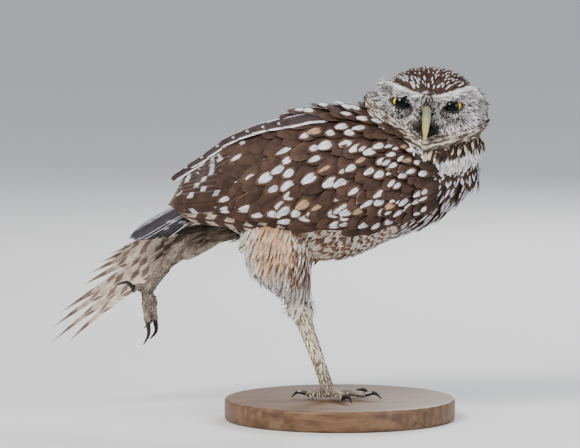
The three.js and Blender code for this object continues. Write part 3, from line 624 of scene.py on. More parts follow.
def plumage_material():
    """Barbed vanes: a dark shaft, fine barbs, a spot or bars, a paler worn fringe, and painted shade toward
    each vane's root.
    """
    made, shader, place = finish("plumage", 0.72)
    shader.inputs["Specular IOR Level"].default_value = 0.28

    def given(name):
        """The four values that each feather carries under a name."""
        whole = carried(place, name)
        three = [whole.node("ShaderNodeSeparateColor", {}, {0: whole}, out=k) for k in range(3)]
        return [*three, Socket(whole.tree, whole.link.node.outputs["Alpha"])]

    tint = carried(place, "tint")
    marking = carried(place, "marking")
    spot_wide, spot_long, spot_place, spot_offset = given("spot")
    bar_count, bar_share, bar_inner, bar_strength = given("bars")
    fringe, _, phase, root_shade = given("wear")
    vane = place.node("ShaderNodeUVMap", {"uv_map": "Vane"})
    across, along = (place.node("ShaderNodeSeparateXYZ", {}, {0: vane}, out=k) for k in (0, 1))
    from_shaft = abs(across - 0.5)

    # the spot, with a warm halo, then the bars, both with ragged edges
    shift = (stretched_noise(vane, (5.0, 22.0, 1.0)) - 0.5) * 0.06
    wide = (abs(from_shaft - spot_offset) + shift) / (spot_wide + 0.0001)
    long = (along - spot_place + shift) / (spot_long + 0.0001)
    reach = wide * wide + long * long
    spot = reach.step(1.25, 0.65)
    bar = abs((along * bar_count + phase + shift * 2.0 + from_shaft * 0.5).maths("FRACT") - 0.5)
    bar = bar.step(bar_share * 0.5 + 0.04, bar_share * 0.5 - 0.04)
    bar = bar * from_shaft.step(bar_inner, bar_inner + 0.06)
    shown = spot.maths("MAXIMUM", bar * bar_strength)
    warm = reach.step(2.6, 1.3) * 0.45
    colour = shown.mix(warm.mix(tint, (0.25, 0.145, 0.095)), marking)
    edge = from_shaft.step(0.42, 0.5).maths("MAXIMUM", along.step(0.94, 0.99)) * fringe
    colour = edge.mix(colour, marking)

    barbs = stretched_noise(vane, (9.0, 70.0, 1.0))
    shaft = from_shaft.step(0.035, 0.015)
    blotch = noise(place, 240.0, 3.0).step(0.30, 0.66)
    # barbs and a darker shaft, with painted shade darkening each vane toward its root under the feather over
    # it, then a random mottle
    light = (barbs * 0.42 + 0.70) * (1.0 - shaft * 0.28) * (root_shade * (1.0 - along) * -0.55 + 1.0)
    light = light * (blotch * 0.46 + 0.80)
    feed(shader, "Base Color", colour.shade(light))
    bump(shader, barbs + shaft * 0.6, 0.35, 0.0002)
    return made


plumage = plumage_material()


def plant(name, roots, along, out, length, width, slope, droop, values, on_head, rings=5, tip=0.30):
    """A piece of small feathers set on the skin."""
    points = feather_arrays(roots, along, out, length, width, slope, droop, rings, tip)
    return joined_mesh(name, points, 4, roots, on_head, values)


def scatter(surface, spacing_of, tries):
    """Places over a skin with at least the given spacing between them."""
    data = surface.data
    data.calc_loop_triangles()
    tris = np.empty(len(data.loop_triangles) * 3, int)
    data.loop_triangles.foreach_get("vertices", tris)
    tris = tris.reshape(-1, 3)
    verts = np.empty(len(data.vertices) * 3)
    data.vertices.foreach_get("co", verts)
    verts = verts.reshape(-1, 3) / MM
    a, b, c = (verts[tris[:, k]] for k in range(3))
    cross = np.cross(b - a, c - a)
    area = np.linalg.norm(cross, axis=1) / 2
    middle = (a + b + c) / 3
    share = area / spacing_of(kinds_at(middle)) ** 2
    pick = random.choice(len(tris), tries, p=share / share.sum())
    r1, r2 = np.sqrt(random.random(tries)), random.random(tries)
    w = np.stack([1 - r1, r1 * (1 - r2), r1 * r2], 1)[:, :, None]
    spots = a[pick] * w[:, 0] + b[pick] * w[:, 1] + c[pick] * w[:, 2]
    normals = unit(cross[pick])
    kind = kinds_at(spots)
    spacing = spacing_of(kind)
    cell = 3.6
    grid = {}
    kept = []
    keys = np.floor(spots / cell).astype(int).tolist()
    around = [(x, y, z) for x in (-1, 0, 1) for y in (-1, 0, 1) for z in (-1, 0, 1)]
    for i, (x, y, z) in enumerate(keys):
        close = [j for a, b, c in around for j in grid.get((x + a, y + b, z + c), ())]
        if close and (np.sum((spots[close] - spots[i]) ** 2, 1) < spacing[i] ** 2).any():
            continue
        grid.setdefault((x, y, z), []).append(i)
        kept.append(i)
    kept = np.array(kept)
    return spots[kept], normals[kept], kind[kept]


def eye_place(side):
    """An eyeball's centre on the head's axes."""
    return np.array([16.3, side * EYE_SPACING / 2, EYE_RISE])


spacings = np.array([LOOK[k][2] for k in KINDS])
roots, normals, kind = scatter(skin, lambda k: spacings[k], 90000)
# no feathers on the eyeballs or under the bill's horn
EYE_CLEAR = 8.6
clear = np.ones(len(roots), bool)
for side in (-1, 1):
    clear &= np.linalg.norm(roots - in_head(eye_place(side)), axis=1) > EYE_CLEAR
h = to_head(roots)
clear &= ~((np.abs(h[:, 1]) < 2.4) & (h[:, 2] < 1.5) & (h[:, 2] > -12) & (h[:, 0] > 18))
roots, normals, kind = roots[clear], normals[clear], kind[clear]
lie = lie_at(roots, normals, kind)


def markings(kind, p):
    """Each feather's own colours and pattern, with a little chance in all of them."""
    many = len(kind)
    h = to_head(p)
    chance = random.random(many)
    values = {key: np.zeros((many, 4)) for key in ("tint", "marking", "spot", "bars", "wear")}

    def paint(here, colour, key="tint"):
        values[key][here, :3] = np.broadcast_to(colour, (many, 3))[here]

    def fade(first, second, share):
        return lerp(np.array(first), np.array(second), share[:, None])

    for i, name in enumerate(KINDS):
        here = kind == i
        tint, mark, spot = LOOK[name][3:6]
        values["tint"][here] = [*tint, 1]
        values["marking"][here] = [*mark, 1]
        values["spot"][here] = spot
    values["bars"][:] = [2.0, 0.0, 0.0, 0.0]
    values["bars"][among(kind, "belly")] = [2.1, 0.42, 0.0, 1.0]
    values["bars"][among(kind, "thigh")] = [1.4, 0.36, 0.0, 0.12]
    # pale fringes on the back, and fresh brown feathers among worn ones
    values["wear"][:, 0] = np.where(among(kind, "back"), 0.45, 0.0) + 0.25 * chance
    values["wear"][among(kind, "belly", "vent"), 0] = 0.0
    values["wear"][:, 1] = chance
    values["wear"][:, 2] = random.random(many)
    # the fourth value is painted shade that darkens each feather toward its root, under the feather over it
    values["wear"][:, 3] = 0.9
    tone = (0.82 + 0.36 * random.random(many))[:, None]
    values["tint"][:, :3] *= tone
    # a share of the dark feathers carry only a small spot
    spotted = among(kind, "back", "breast", "neck", "nape", "crown")
    size = np.where(chance < 0.14, 0.1, 0.75 + 0.5 * random.random(many))
    values["spot"][spotted, :2] *= size[spotted, None]
    values["spot"][:, 2] += (random.random(many) - 0.5) * 0.06
    # fine dark and pale filaments over the face, darker toward the lids and the bill
    eye_gap = np.hypot(np.abs(h[:, 1]) - EYE_SPACING / 2, h[:, 2] - EYE_RISE)
    dark = np.maximum(smooth(0.64, 0.72, chance) * 0.85, (1 - smooth(6.5, 9.0, eye_gap)) * 0.4)
    grey = fade([0.62, 0.59, 0.60], [0.66, 0.58, 0.50], smooth(-4, -13, h[:, 2]))
    grey = fade(grey, BROWN * 1.6, smooth(24, 31, np.abs(h[:, 1])) * 0.5)
    paint(among(kind, "face"), fade(grey, DARK * 1.6, dark) * tone)
    coal = fade([0.070, 0.062, 0.060], [0.46, 0.42, 0.39], smooth(-6, 0, h[:, 2]))
    paint(among(kind, "lores"), coal)
    paint(among(kind, "lores") & (chance > 0.6) & (h[:, 2] > -4), DARK * 1.5)
    to_edge = h[:, 2] - face_edge(h[:, 1])
    line = np.maximum(smooth(0.50, 0.62, np.sin(to_edge * 2.3) * 0.5 + 0.5) * 0.85, (chance > 0.85) * 0.8)
    paint(among(kind, "chin"), fade([0.66, 0.58, 0.50], DARK * 1.5, line))
    # the dark collar under the cheeks, and the white throat patch below it
    ruff = among(kind, "ruff")
    paint(ruff, BROWN * 0.85 * tone)
    paint(ruff & (chance > 0.80), CREAM * 0.95 * tone)
    paint(ruff & (chance < 0.28), DARK * tone)
    crown = among(kind, "crown")
    forehead = smooth(4, 18, h[:, 0]) * smooth(20, 12, h[:, 2])
    values["spot"][crown, :2] *= np.stack([0.8 + 0.3 * forehead, 0.7 + 0.9 * forehead], 1)[crown]
    values["spot"][crown & (random.random(many) < 0.12), :2] = 0.0
    # the side of the head behind the disc is grizzled
    grizzled = among(kind, "nape") & (h[:, 1] < -8) & (h[:, 2] < 16)
    paint(grizzled, fade(BROWN * 1.2, [0.58, 0.55, 0.57], chance))
    pale = among(kind, "throat", "brow")
    paint(pale, np.array([0.74, 0.72, 0.70]) * (0.88 + 0.2 * random.random((many, 1))))
    # less painted root shade on the pale throat, brow and face feathers
    values["wear"][among(kind, "throat", "brow", "face", "chin"), 3] = 0.2
    # the belly turns whiter to the middle, the flank buffer and darker to the wing
    low = among(kind, "belly")
    height = p[:, 2] - torso_middle(p[:, 0])
    paint(low, fade([0.66, 0.60, 0.54], BUFF * 0.95, smooth(-24, -6, height) * 0.6))
    thigh = among(kind, "thigh")
    warm = smooth(-54, -40, p[:, 0]) * smooth(84, 100, p[:, 2]) * (0.5 + 0.5 * chance)
    paint(thigh, fade([0.78, 0.74, 0.70], [0.62, 0.36, 0.19], warm))
    paint(thigh, RUFOUS * 2.2, "marking")
    # rufous bars on white where the thigh meets the flank
    flank = (thigh | low) & (p[:, 0] > -27) & (p[:, 0] < 12) & (p[:, 1] < 8) & (p[:, 2] > 84)
    paint(flank, np.array([0.74, 0.66, 0.58]) * tone)
    paint(flank, [0.230, 0.100, 0.048], "marking")
    values["bars"][flank] = [1.35, 0.46, 0.0, 0.95]
    # painted shade: the stretched leg's thigh feathers behind the tail's root are dark taupe, with no bars
    paint(behind_leg(kind, p), np.array([0.25, 0.20, 0.155]) * tone)
    values["bars"][behind_leg(kind, p), 3] = 0.0
    paint(among(kind, "vent"), np.array([0.60, 0.53, 0.46]) * tone)
    return values


# the skin's own finish: down in the same colours as the feathers over it
down, shader, place = finish("down", 0.9)
fluff = noise(place, 420.0, 4.0)
feed(shader, "Base Color", carried(place, "tint").shade(fluff * 0.8 + 0.45))
bump(shader, fluff, 0.6, 0.0007)
dress(skin, down)
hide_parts("torso", "neck", "head", "leg_right_thigh", "leg_left_thigh")
skin_tint = markings(kinds_at(places), places)["tint"] * [0.8, 0.8, 0.8, 1]
layer = skin.data.attributes.new("tint", "FLOAT_COLOR", "POINT")
layer.data.foreach_set("color", skin_tint.astype(np.float32).ravel())

values = markings(kind, roots)
length, width, slope = (
    np.array([LOOK[k][column] for k in KINDS])[kind] * (least + span * random.random(len(kind)))
    for column, least, span in ((0, 0.85, 0.3), (1, 0.88, 0.24), (6, 0.7, 0.6))
)
# feathers waver a little to either side of the lie
sway = (random.random(len(kind)) - 0.5) * 0.34
lie = unit(lie + np.cross(normals, lie) * sway[:, None])
# brow plumes stand proud of the crown
slope[among(kind, "brow")] += 0.1


def clear_of_skin(roots, along, length, slope, droop):
    """Slopes raised where the skin bulges under a feather, so that none is buried."""
    raised = slope.copy()
    for i in range(len(roots)):
        for t, need in ((0.45, 0.35), (0.75, 0.5), (1.0, 0.55)):
            point = roots[i] + along[i] * length[i] * t
            at, out, _, _ = skin_tree.find_nearest(Vector(point * MM))
            height = float(np.dot(point - np.array(at) / MM, np.array(out)))
            rise = length[i] * (t - droop * t * t)
            raised[i] = max(raised[i], (need + 0.35 * (1 - t) - height) / rise)
    return np.minimum(raised, slope + 0.55)


slope = clear_of_skin(roots, lie, length, slope, 0.55)

PIECES = {
    "coat_back": ("back",), "coat_breast": ("breast", "neck"), "coat_belly": ("belly", "vent"),
    "coat_thighs": ("thigh",), "coat_crown": ("crown", "nape"), "coat_face": ("face", "lores", "chin"),
    "coat_brows": ("brow",), "coat_ruff": ("ruff", "throat"),
}
TIPS = {"coat_breast": 0.62, "coat_thighs": 0.8, "coat_face": 0.8, "coat_brows": 0.8, "coat_ruff": 0.6,
        "coat_crown": 0.5}
for name, names in PIECES.items():
    here = among(kind, *names)
    on_head = name in ("coat_crown", "coat_face", "coat_brows")
    fine = name in ("coat_face", "coat_brows", "coat_thighs")
    plant(
        name, roots[here], lie[here], normals[here], length[here], width[here], slope[here],
        np.full(here.sum(), 0.55), {k: v[here] for k, v in values.items()}, on_head,
        rings=3 if fine else 5, tip=TIPS.get(name, 0.34),
    )

# The folded right wing: primaries at the bottom, then secondaries and tertials, and rows of coverts
# and scapulars over them, each vane with a shaft, pale bars or spots and a worn pale edge.

STEPS = 11
ACROSS = np.array([-1, -0.5, 0, 0.5, 1, 0.5, 0, -0.5])
UPPER = np.array([0, 0.8, 1, 0.8, 0, -0.8, -1, -0.8])


def vane_points(path, out, width, tip, thick=0.36, camber=0.10, sharp=2.4):
    """Closed long vanes over their shafts: rings of eight points and one at the tip."""
    along = unit(np.gradient(path, axis=1))
    side = unit(np.cross(along, out))
    over = unit(np.cross(side, along))
    t = np.linspace(0, 1, path.shape[1])[None, :]
    swell = lerp(0.45, 1, smooth(0, 0.3, t))
    taper = np.clip(1 - (np.clip(t - (1 - tip), 0, 1) / tip) ** sharp, 0, 1) ** (1 / sharp)
    half = (np.asarray(width)[:, None] / 2) * swell * np.maximum(taper, 0.03)
    u = ACROSS[None, None, :]
    flat = path[:, :, None] + side[:, :, None] * (half[..., None] * u)[..., None]
    rise = -camber * half[..., None] * u * u + UPPER * thick / 2 * np.minimum(1, half[..., None] / 2)
    rings = flat + over[:, :, None] * rise[..., None]
    body = rings[:, :-1].reshape(len(path), -1, 3)
    return np.concatenate([body, path[:, -1:]], 1)


def vanes(name, path, out, width, values, tip=0.22, **shape):
    """A piece of long vanes laid along their paths."""
    points = vane_points(path, out, width, tip, **shape)
    return joined_mesh(name, points, 8, path[:, 0], False, values)


def over_shell(rows, start, end, lift, side, sink=1.6):
    """Paths over an outlined shell from (x, angle) to (x, angle), rising as they go."""
    t = np.linspace(0, 1, STEPS)[None, :]
    x = lerp(start[:, :1], end[:, :1], t)
    angle = lerp(start[:, 1:], end[:, 1:], t)
    rise = lerp(-sink, lift, t)
    path = over_body(rows, x, angle, rise, side)
    out = unit(over_body(rows, x, angle, rise + 1, side) - path)
    return path, out


def rgba(colours):
    return np.concatenate([colours, np.ones((len(colours), 1))], 1)


def pattern(many, tint, mark, spot=(0, 0, 0.5, 0), bars=(2, 0, 0, 0), fringe=0.4, root_shade=0.5, vary=0.3):
    # the last of the four wear values is painted shade, darkening each vane toward its root
    tone = 1 - vary / 2 + vary * random.random((many, 1))
    return {
        "tint": rgba(tint * tone), "marking": rgba(np.tile(mark, (many, 1))),
        "spot": np.tile(np.array(spot, float), (many, 1)),
        "bars": np.tile(np.array(bars, float), (many, 1)),
        "wear": np.stack([np.full(many, fringe), random.random(many), random.random(many) * 0.7,
                          np.full(many, root_shade)], 1),
    }


def row(many, first, last):
    """Rows of (x, angle) from the first feather of a tier to its last."""
    s = np.linspace(0, 1, many)[:, None]
    return lerp(np.array(first, float)[None], np.array(last, float)[None], s)


RIGHT = -1
start, end = row(9, (-20, -34), (-38, -8)), row(9, (-90, -36), (-97, 0))
path, out = over_shell(CLOAK, start, end, -0.8, RIGHT)
values = pattern(9, BROWN * 0.95, [0.60, 0.47, 0.38], bars=(6.5, 0.46, 0.06, 0.9), fringe=0.3)
primaries = vanes("wing_right_primaries", path, out, np.linspace(8.5, 9.5, 9), values, tip=0.2)
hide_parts("wing_right")
start, end = row(12, (-22, -13), (-18, 62)), row(12, (-98, -3), (-87, 66))
path, out = over_shell(CLOAK, start, end, 1.2, RIGHT)
values = pattern(12, BROWN * 0.85, WHITE * 0.9, bars=(5.2, 0.20, 0.22, 0.75), fringe=0.14)
vanes("wing_right_secondaries", path, out, np.linspace(12.5, 15.5, 12), values, tip=0.2)


def scattered(low_x, high_x, low, high, gap, tries):
    """Places over the wing's shell with an even but irregular gap between them."""
    x = low_x + (high_x - low_x) * random.random(tries)
    angle = low + (high - low) * random.random(tries)
    spots = over_body(CLOAK, x, angle, 0.0, RIGHT)
    kept = []
    for i in range(tries):
        if (np.sum((spots[kept] - spots[i]) ** 2, 1) > gap ** 2).all():
            kept.append(i)
    return x[kept], angle[kept]


# coverts and mantle: how far along, gap, length, width, lift, share with a spot, spot size
FIELDS = [
    (-46, -10, -15, 60, 7.0, 25, 11.0, 1.9, 0.50, (0.17, 0.14)),
    (-16, 20, -22, 66, 6.2, 21, 9.8, 2.3, 0.62, (0.20, 0.17)),
    (14, 42, -34, 68, 5.2, 17, 8.6, 2.6, 0.60, (0.20, 0.19)),
    (36, 56, -32, 64, 3.9, 12, 6.4, 2.9, 0.58, (0.20, 0.20)),
]
for i, (low_x, high_x, low, high, gap, long, wide, lift, share, spot) in enumerate(FIELDS):
    x, angle = scattered(low_x, high_x, low, high, gap, 1500)
    many = len(x)
    # the lie follows the wing's lower edge below, and falls away from the back above it
    fall = lerp(3.0, -11.0, smooth(-38, 8, angle)) * (1 - 0.7 * smooth(46, 66, angle))
    long_here = long * (0.9 + 0.2 * random.random(many))
    start = np.stack([x, angle], 1)
    end = np.stack([x - long_here, angle + fall * long / 17 + (random.random(many) - 0.5) * 6], 1)
    path, out = over_shell(CLOAK, start, end, lift, RIGHT)
    values = pattern(many, BROWN, WHITE, fringe=0.10, root_shade=0.9, vary=0.42)
    chance = random.random(many)
    size = (0.65 + 0.55 * random.random(many)) * (chance < share)
    place = 0.76 + 0.06 * random.random(many)
    slim = 0.7 + 0.55 * random.random(many)
    offset = 0.12 * random.random(many)
    values["spot"] = np.stack([spot[0] * size * slim, spot[1] * size / slim ** 0.5, place, offset], 1)
    # some spots are buff, and some feathers without one have a worn buff tip
    buff = (chance < share * 0.09) | (chance > 0.95)
    values["marking"][buff, :3] = [0.47, 0.31, 0.22]
    values["wear"][:, 0] = np.where(chance > 0.93, 0.35, 0.0)
    vanes(
        f"wing_right_coverts_{i + 1}", path, out, wide * (0.9 + 0.2 * random.random(many)), values,
        tip=0.46, thick=0.22, sharp=1.9,
    )

# The scapulars: long loose feathers that stack along the back line over the wing's upper edge.

STACK = [
    ((0, 64), (-36, 58)), ((-6, 62), (-45, 60)), ((-14, 66), (-54, 62)), ((-22, 64), (-62, 63)),
    ((-31, 68), (-71, 65)), ((-38, 68), (-80, 66)), ((-47, 70), (-89, 67)), ((-54, 70), (-98, 62)),
]
for side, hand in ((RIGHT, "right"), (1, "left")):
    rows = CLOAK if side == RIGHT else TORSO
    ends = np.array(STACK if side == RIGHT else STACK[:4], float)
    start, end = ends[:, 0], ends[:, 1]
    path, out = over_shell(rows, start, end, 3.6, side, sink=0.2)
    many = len(start)
    values = pattern(many, np.array([0.070, 0.050, 0.048]), WHITE, spot=(0.11, 0.62, 0.55, 0.47), fringe=1.0)
    vanes(f"tertial_stack_{hand}", path, out, np.linspace(11.5, 9.0, many), values, tip=0.3, camber=0.2)
    start = np.stack([np.linspace(46, -16, 15), 70 + 14 * random.random(15)], 1)
    end = start + np.stack([np.full(15, -19.0), -6 * random.random(15)], 1)
    path, out = over_shell(rows, start, end, 3.2, side)
    values = pattern(15, BROWN, WHITE, spot=(0.2, 0.15, 0.82, 0.1), fringe=0.2, root_shade=0.8)
    values["spot"][random.random(15) < 0.55, :2] = 0.0
    vanes(f"scapulars_{hand}", path, out, 9.5 + 2 * random.random(15), values, tip=0.36)

# The stretched left wing, seen from below: ten primaries with thin worn tips, the secondaries inward of
# them, and rows of soft pale coverts over their roots. Its upper side is brown.

UNDER = np.array([0.58, 0.48, 0.40])
UNDER_BAR = np.array([0.165, 0.120, 0.100])
LEFT_OUT = unit(np.array([0.12, 1, 0.1]))
PRIMARY_TIPS = np.array([
    [-158.5, 24, 39.5], [-168.0, 26, 39.5], [-167.5, 27.5, 48], [-162.5, 29, 57], [-149, 30, 73],
    [-145, 31, 80], [-139, 32, 86], [-133, 33, 91], [-126, 34, 95], [-119, 35, 99.5],
], float)


def bowed(root, tip, bow, up):
    """Paths from roots to tips, bowed a little to one side."""
    t = np.linspace(0, 1, STEPS)[None, :, None]
    bow = np.broadcast_to(bow, len(root))[:, None, None]
    return lerp(root[:, None], tip[:, None], t) + np.asarray(up)[None, None] * bow * 4 * t * (1 - t)


def two_sided(per, above, below):
    """Per-point values with one pattern above the vane and another below it."""
    lower = np.tile(np.isin(np.arange(8), (0, 4, 5, 6, 7)), (per - 1) // 8)
    lower = np.append(lower, False)[None, :, None]
    return {key: np.where(lower, below[key][:, None], above[key][:, None]) for key in above}


def left_row(name, roots, tips, width, bow, tip, bars, spot=(0, 0, 0.5, 0), **shape):
    path = bowed(roots, tips, bow, [0.1, 0.3, 0.9])
    out = np.tile(LEFT_OUT, (len(path), STEPS, 1))
    many = len(path)
    above = pattern(many, BROWN, [0.52, 0.40, 0.32], bars=bars, spot=spot, fringe=0.3)
    below = pattern(many, UNDER, UNDER_BAR, bars=bars, spot=spot, fringe=0.0, root_shade=0.0, vary=0.2)
    per = (STEPS - 1) * 8 + 1
    values = two_sided(per, above, below)
    return vanes(name, path, out, width, values, tip=tip, **shape)


s = np.arange(10)
hand_roots = lerp(LEFT_HAND[None], lerp(LEFT_HAND, LEFT_WRIST, 0.95)[None], (s / 9)[:, None])
hand_roots = hand_roots + LEFT_OUT * lerp(-2.0, 2.0, s / 9)[:, None]
tips = PRIMARY_TIPS + np.stack([0 * s, 0.5 * s, 0 * s], 1)
primaries = left_row(
    "wing_left_primaries", hand_roots, tips, lerp(8.5, 12.5, s / 9), lerp(7.5, 2.0, s / 9), 0.55,
    (8.0, 0.34, 0.04, 0.9), spot=(0.7, 0.14, 1.0, 0.0), sharp=0.98,
)
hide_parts("wing_left_arm", "wing_left_hand")
s = np.linspace(0, 1, 10)
arm_roots = spline(ARM_LINE, lerp(0.68, 0.34, s)) + LEFT_OUT * 1.5
tips = np.stack([lerp(-113, -60, s), lerp(40, 48, s), lerp(104, 137, s)], 1)
left_row("wing_left_secondaries", arm_roots, tips, np.full(10, 13.5), 2.0, 0.2, (5.5, 0.30, 0.06, 0.7))
# rows of coverts: how many, where along the arm, length, how far they stand on the lower side
LEFT_COVERTS = [
    (14, 0.98, 0.06, 40, -1.2, 9.0, (3.0, 0.20, 0.12, 0.6)),
    (18, 0.99, 0.05, 27, -2.6, 7.0, (2.0, 0.16, 0.15, 0.35)),
    (22, 1.00, 0.04, 17, -3.8, 4.6, (2.0, 0.10, 0.2, 0.2)),
    (14, 0.98, 0.06, 34, 2.4, 10.0, (3.0, 0.30, 0.1, 0.8)),
    (15, 0.99, 0.05, 22, 4.2, 8.5, (2.0, 0.20, 0.1, 0.8)),
]
for i, (many, first, last, long, stand, wide, bars) in enumerate(LEFT_COVERTS):
    s = np.linspace(first, last, many)
    roots_here = spline(ARM_LINE, s) + LEFT_OUT * stand * (0.6 + 0.4 * (1 - s))[:, None]
    # the hand's coverts sweep out along the primaries, the arm's trail behind it
    fall = lerp(-0.10, -0.62, smooth(0.35, 1.0, s))
    sweep = unit(np.stack([np.full(many, -0.95), np.full(many, -0.10), fall], 1))
    tips = roots_here + sweep * (long * (0.9 + 0.2 * random.random(many)))[:, None]
    tips = tips + LEFT_OUT * (stand * 0.1)
    left_row(f"wing_left_coverts_{i + 1}", roots_here, tips, np.full(many, wide), 1.0, 0.4, bars)

# The tail: twelve short flight feathers, half folded, blue-grey above with pale edges and bars.

TAIL_ROOT = np.array([-66.0, 4, 131])
TAIL_TIP = np.array([-121.0, 9, 100])
TAIL_SPREAD = math.radians(9)
TAIL_ROLL = math.radians(27)
axis = unit(TAIL_TIP - TAIL_ROOT)
flat_side = unit(np.cross(axis, [0, 0, 1]))
flat_up = unit(np.cross(flat_side, axis))
tail_side = flat_side * math.cos(TAIL_ROLL) + flat_up * math.sin(TAIL_ROLL)
tail_up = flat_up * math.cos(TAIL_ROLL) - flat_side * math.sin(TAIL_ROLL)
reach = np.linalg.norm(TAIL_TIP - TAIL_ROOT)
fan = np.linspace(-1, 1, 12)
layer = (1 - np.abs(fan)) * 4.2 - 2.0
swing = (fan * TAIL_SPREAD)[:, None]
headings = axis * np.cos(swing) + tail_side * np.sin(swing)
tail_roots = TAIL_ROOT + tail_side * (fan * 3.5)[:, None] + tail_up * (layer * 0.3)[:, None]
lengths = reach * (1 - 0.26 * np.maximum(-fan, 0) - 0.05 * fan ** 2)
tail_tips = tail_roots + headings * lengths[:, None] + tail_up * (layer * 0.7)[:, None]
path = bowed(tail_roots, tail_tips, 1.5, tail_up)
values = pattern(12, np.array([0.060, 0.052, 0.056]), WHITE, bars=(3.0, 0.14, 0.3, 0.4), fringe=1.0, root_shade=0.3)
values["wear"][1:4, 0] = 0.05
tail = vanes("tail_feathers", path, np.tile(tail_up, (12, STEPS, 1)), np.full(12, 10.5), values, tip=0.24)
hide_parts("tail")

# The legs: long bare-looking shanks under a thin coat of short bristly feathers, drawn over one skin,
# with rough, scaled toes.

leg_skin, shader, place = finish("scaled_skin", 0.55)
links = {"Vector": place, "Scale": 900.0}
scales = place.node("ShaderNodeTexVoronoi", {"feature": "DISTANCE_TO_EDGE"}, links)
plates = scales.step(0.02, 0.22)
dirt = noise(place, 260.0, 4.0)
skin_tone = dirt.step(0.35, 0.7).mix((0.205, 0.155, 0.125), (0.40, 0.34, 0.285))
feed(shader, "Base Color", skin_tone.shade(plates * 0.45 + 0.6))
bump(shader, plates, 0.6, 0.0003)


def leg_depth(p):
    return np.full(len(p), 0.15)


# each leg's foot and heel, how far its feathers reach down, their colour (a painted shade on the stretched
# left leg), length and slope
LEGS = {
    "right": ([-6.5, -8, 17.2], [-21.5, -12, 61], 3.0, [0.80, 0.69, 0.56], 5.2, 0.16),
    # the stretched left leg's coat colour is painted shade: a darkened copy of the standing leg's cream
    "left": ([-110.0, -8, 75], [-88.0, 6, 103], 8.0, [0.215, 0.165, 0.13], 4.0, 0.10),
}
for hand, (foot, heel, lowest, pale, longest, rise) in LEGS.items():
    parts = node_copies([f"leg_{hand}_shank", f"foot_{hand}"])
    leg, _ = one_surface(f"leg_{hand}", parts, 0.0006, 4, leg_depth)
    dress(leg, leg_skin)
    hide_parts(f"leg_{hand}_shank", f"foot_{hand}")
    at, out, _ = scatter(leg, lambda k: np.full(len(k), 1.25), 9000)
    toward_toes = unit(np.array(foot, float) - heel)
    far = (at - foot) @ toward_toes
    keep = far < lowest
    at, out, far = at[keep], out[keep], far[keep]
    flow = toward_toes[None] - out * (out @ toward_toes)[:, None]
    flow = unit(flow + 0.05 * random.standard_normal(at.shape))
    many = len(at)
    low = smooth(-26, 2, far)[:, None]
    tint = lerp(np.array(pale), np.array(pale) * 0.66, low) * (0.78 + 0.4 * random.random((many, 1)))
    values = pattern(many, np.ones(3), BROWN, fringe=0.0, root_shade=0.5)
    values["tint"] = rgba(tint)
    length_here = lerp(longest, 2.6, low[:, 0]) * (0.8 + 0.4 * random.random(many))
    plant(
        f"coat_leg_{hand}", at, flow, out, length_here, np.full(many, 1.0),
        np.full(many, rise), np.full(many, 0.55), values, False, rings=3, tip=0.7,
    )

# The claws: curved black horn, streaked in colour and gloss.

horn, shader, place = finish("claw_horn", 0.30)
streaks = noise(place, 420.0, 3.0)
feed(shader, "Base Color", streaks.mix((0.012, 0.010, 0.009), (0.040, 0.032, 0.028)))
feed(shader, "Roughness", streaks * 0.2 + 0.2)
bump(shader, streaks, 0.2, 0.0001)
for name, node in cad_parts.items():
    if name.startswith("claw_"):
        node.data.materials.clear()
        node.data.materials.append(horn)

# The eyes: dark polished balls with a yellow iris round a wide pupil, domed over the iris as a cornea is.

iris_stuff, shader, place = finish("iris", 0.35)
angle_map = place.node("ShaderNodeUVMap", {"uv_map": "Ring"})
out_it = place.node("ShaderNodeSeparateXYZ", {}, {0: angle_map}, out=1)
rays = stretched_noise(angle_map, (60.0, 3.0, 1.0))
gold = rays.mix((0.62, 0.42, 0.035), (0.86, 0.66, 0.10))
gold = out_it.step(0.80, 1.0).mix(gold, (0.10, 0.06, 0.01))
gold = out_it.step(0.76, 0.72).mix(gold, (0.002, 0.004, 0.005))
gold = out_it.step(1.0, 1.04).mix(gold, (0.010, 0.008, 0.008))
feed(shader, "Base Color", gold)
shader.inputs["Specular IOR Level"].default_value = 0.25
shader.inputs["Roughness"].default_value = 0.08

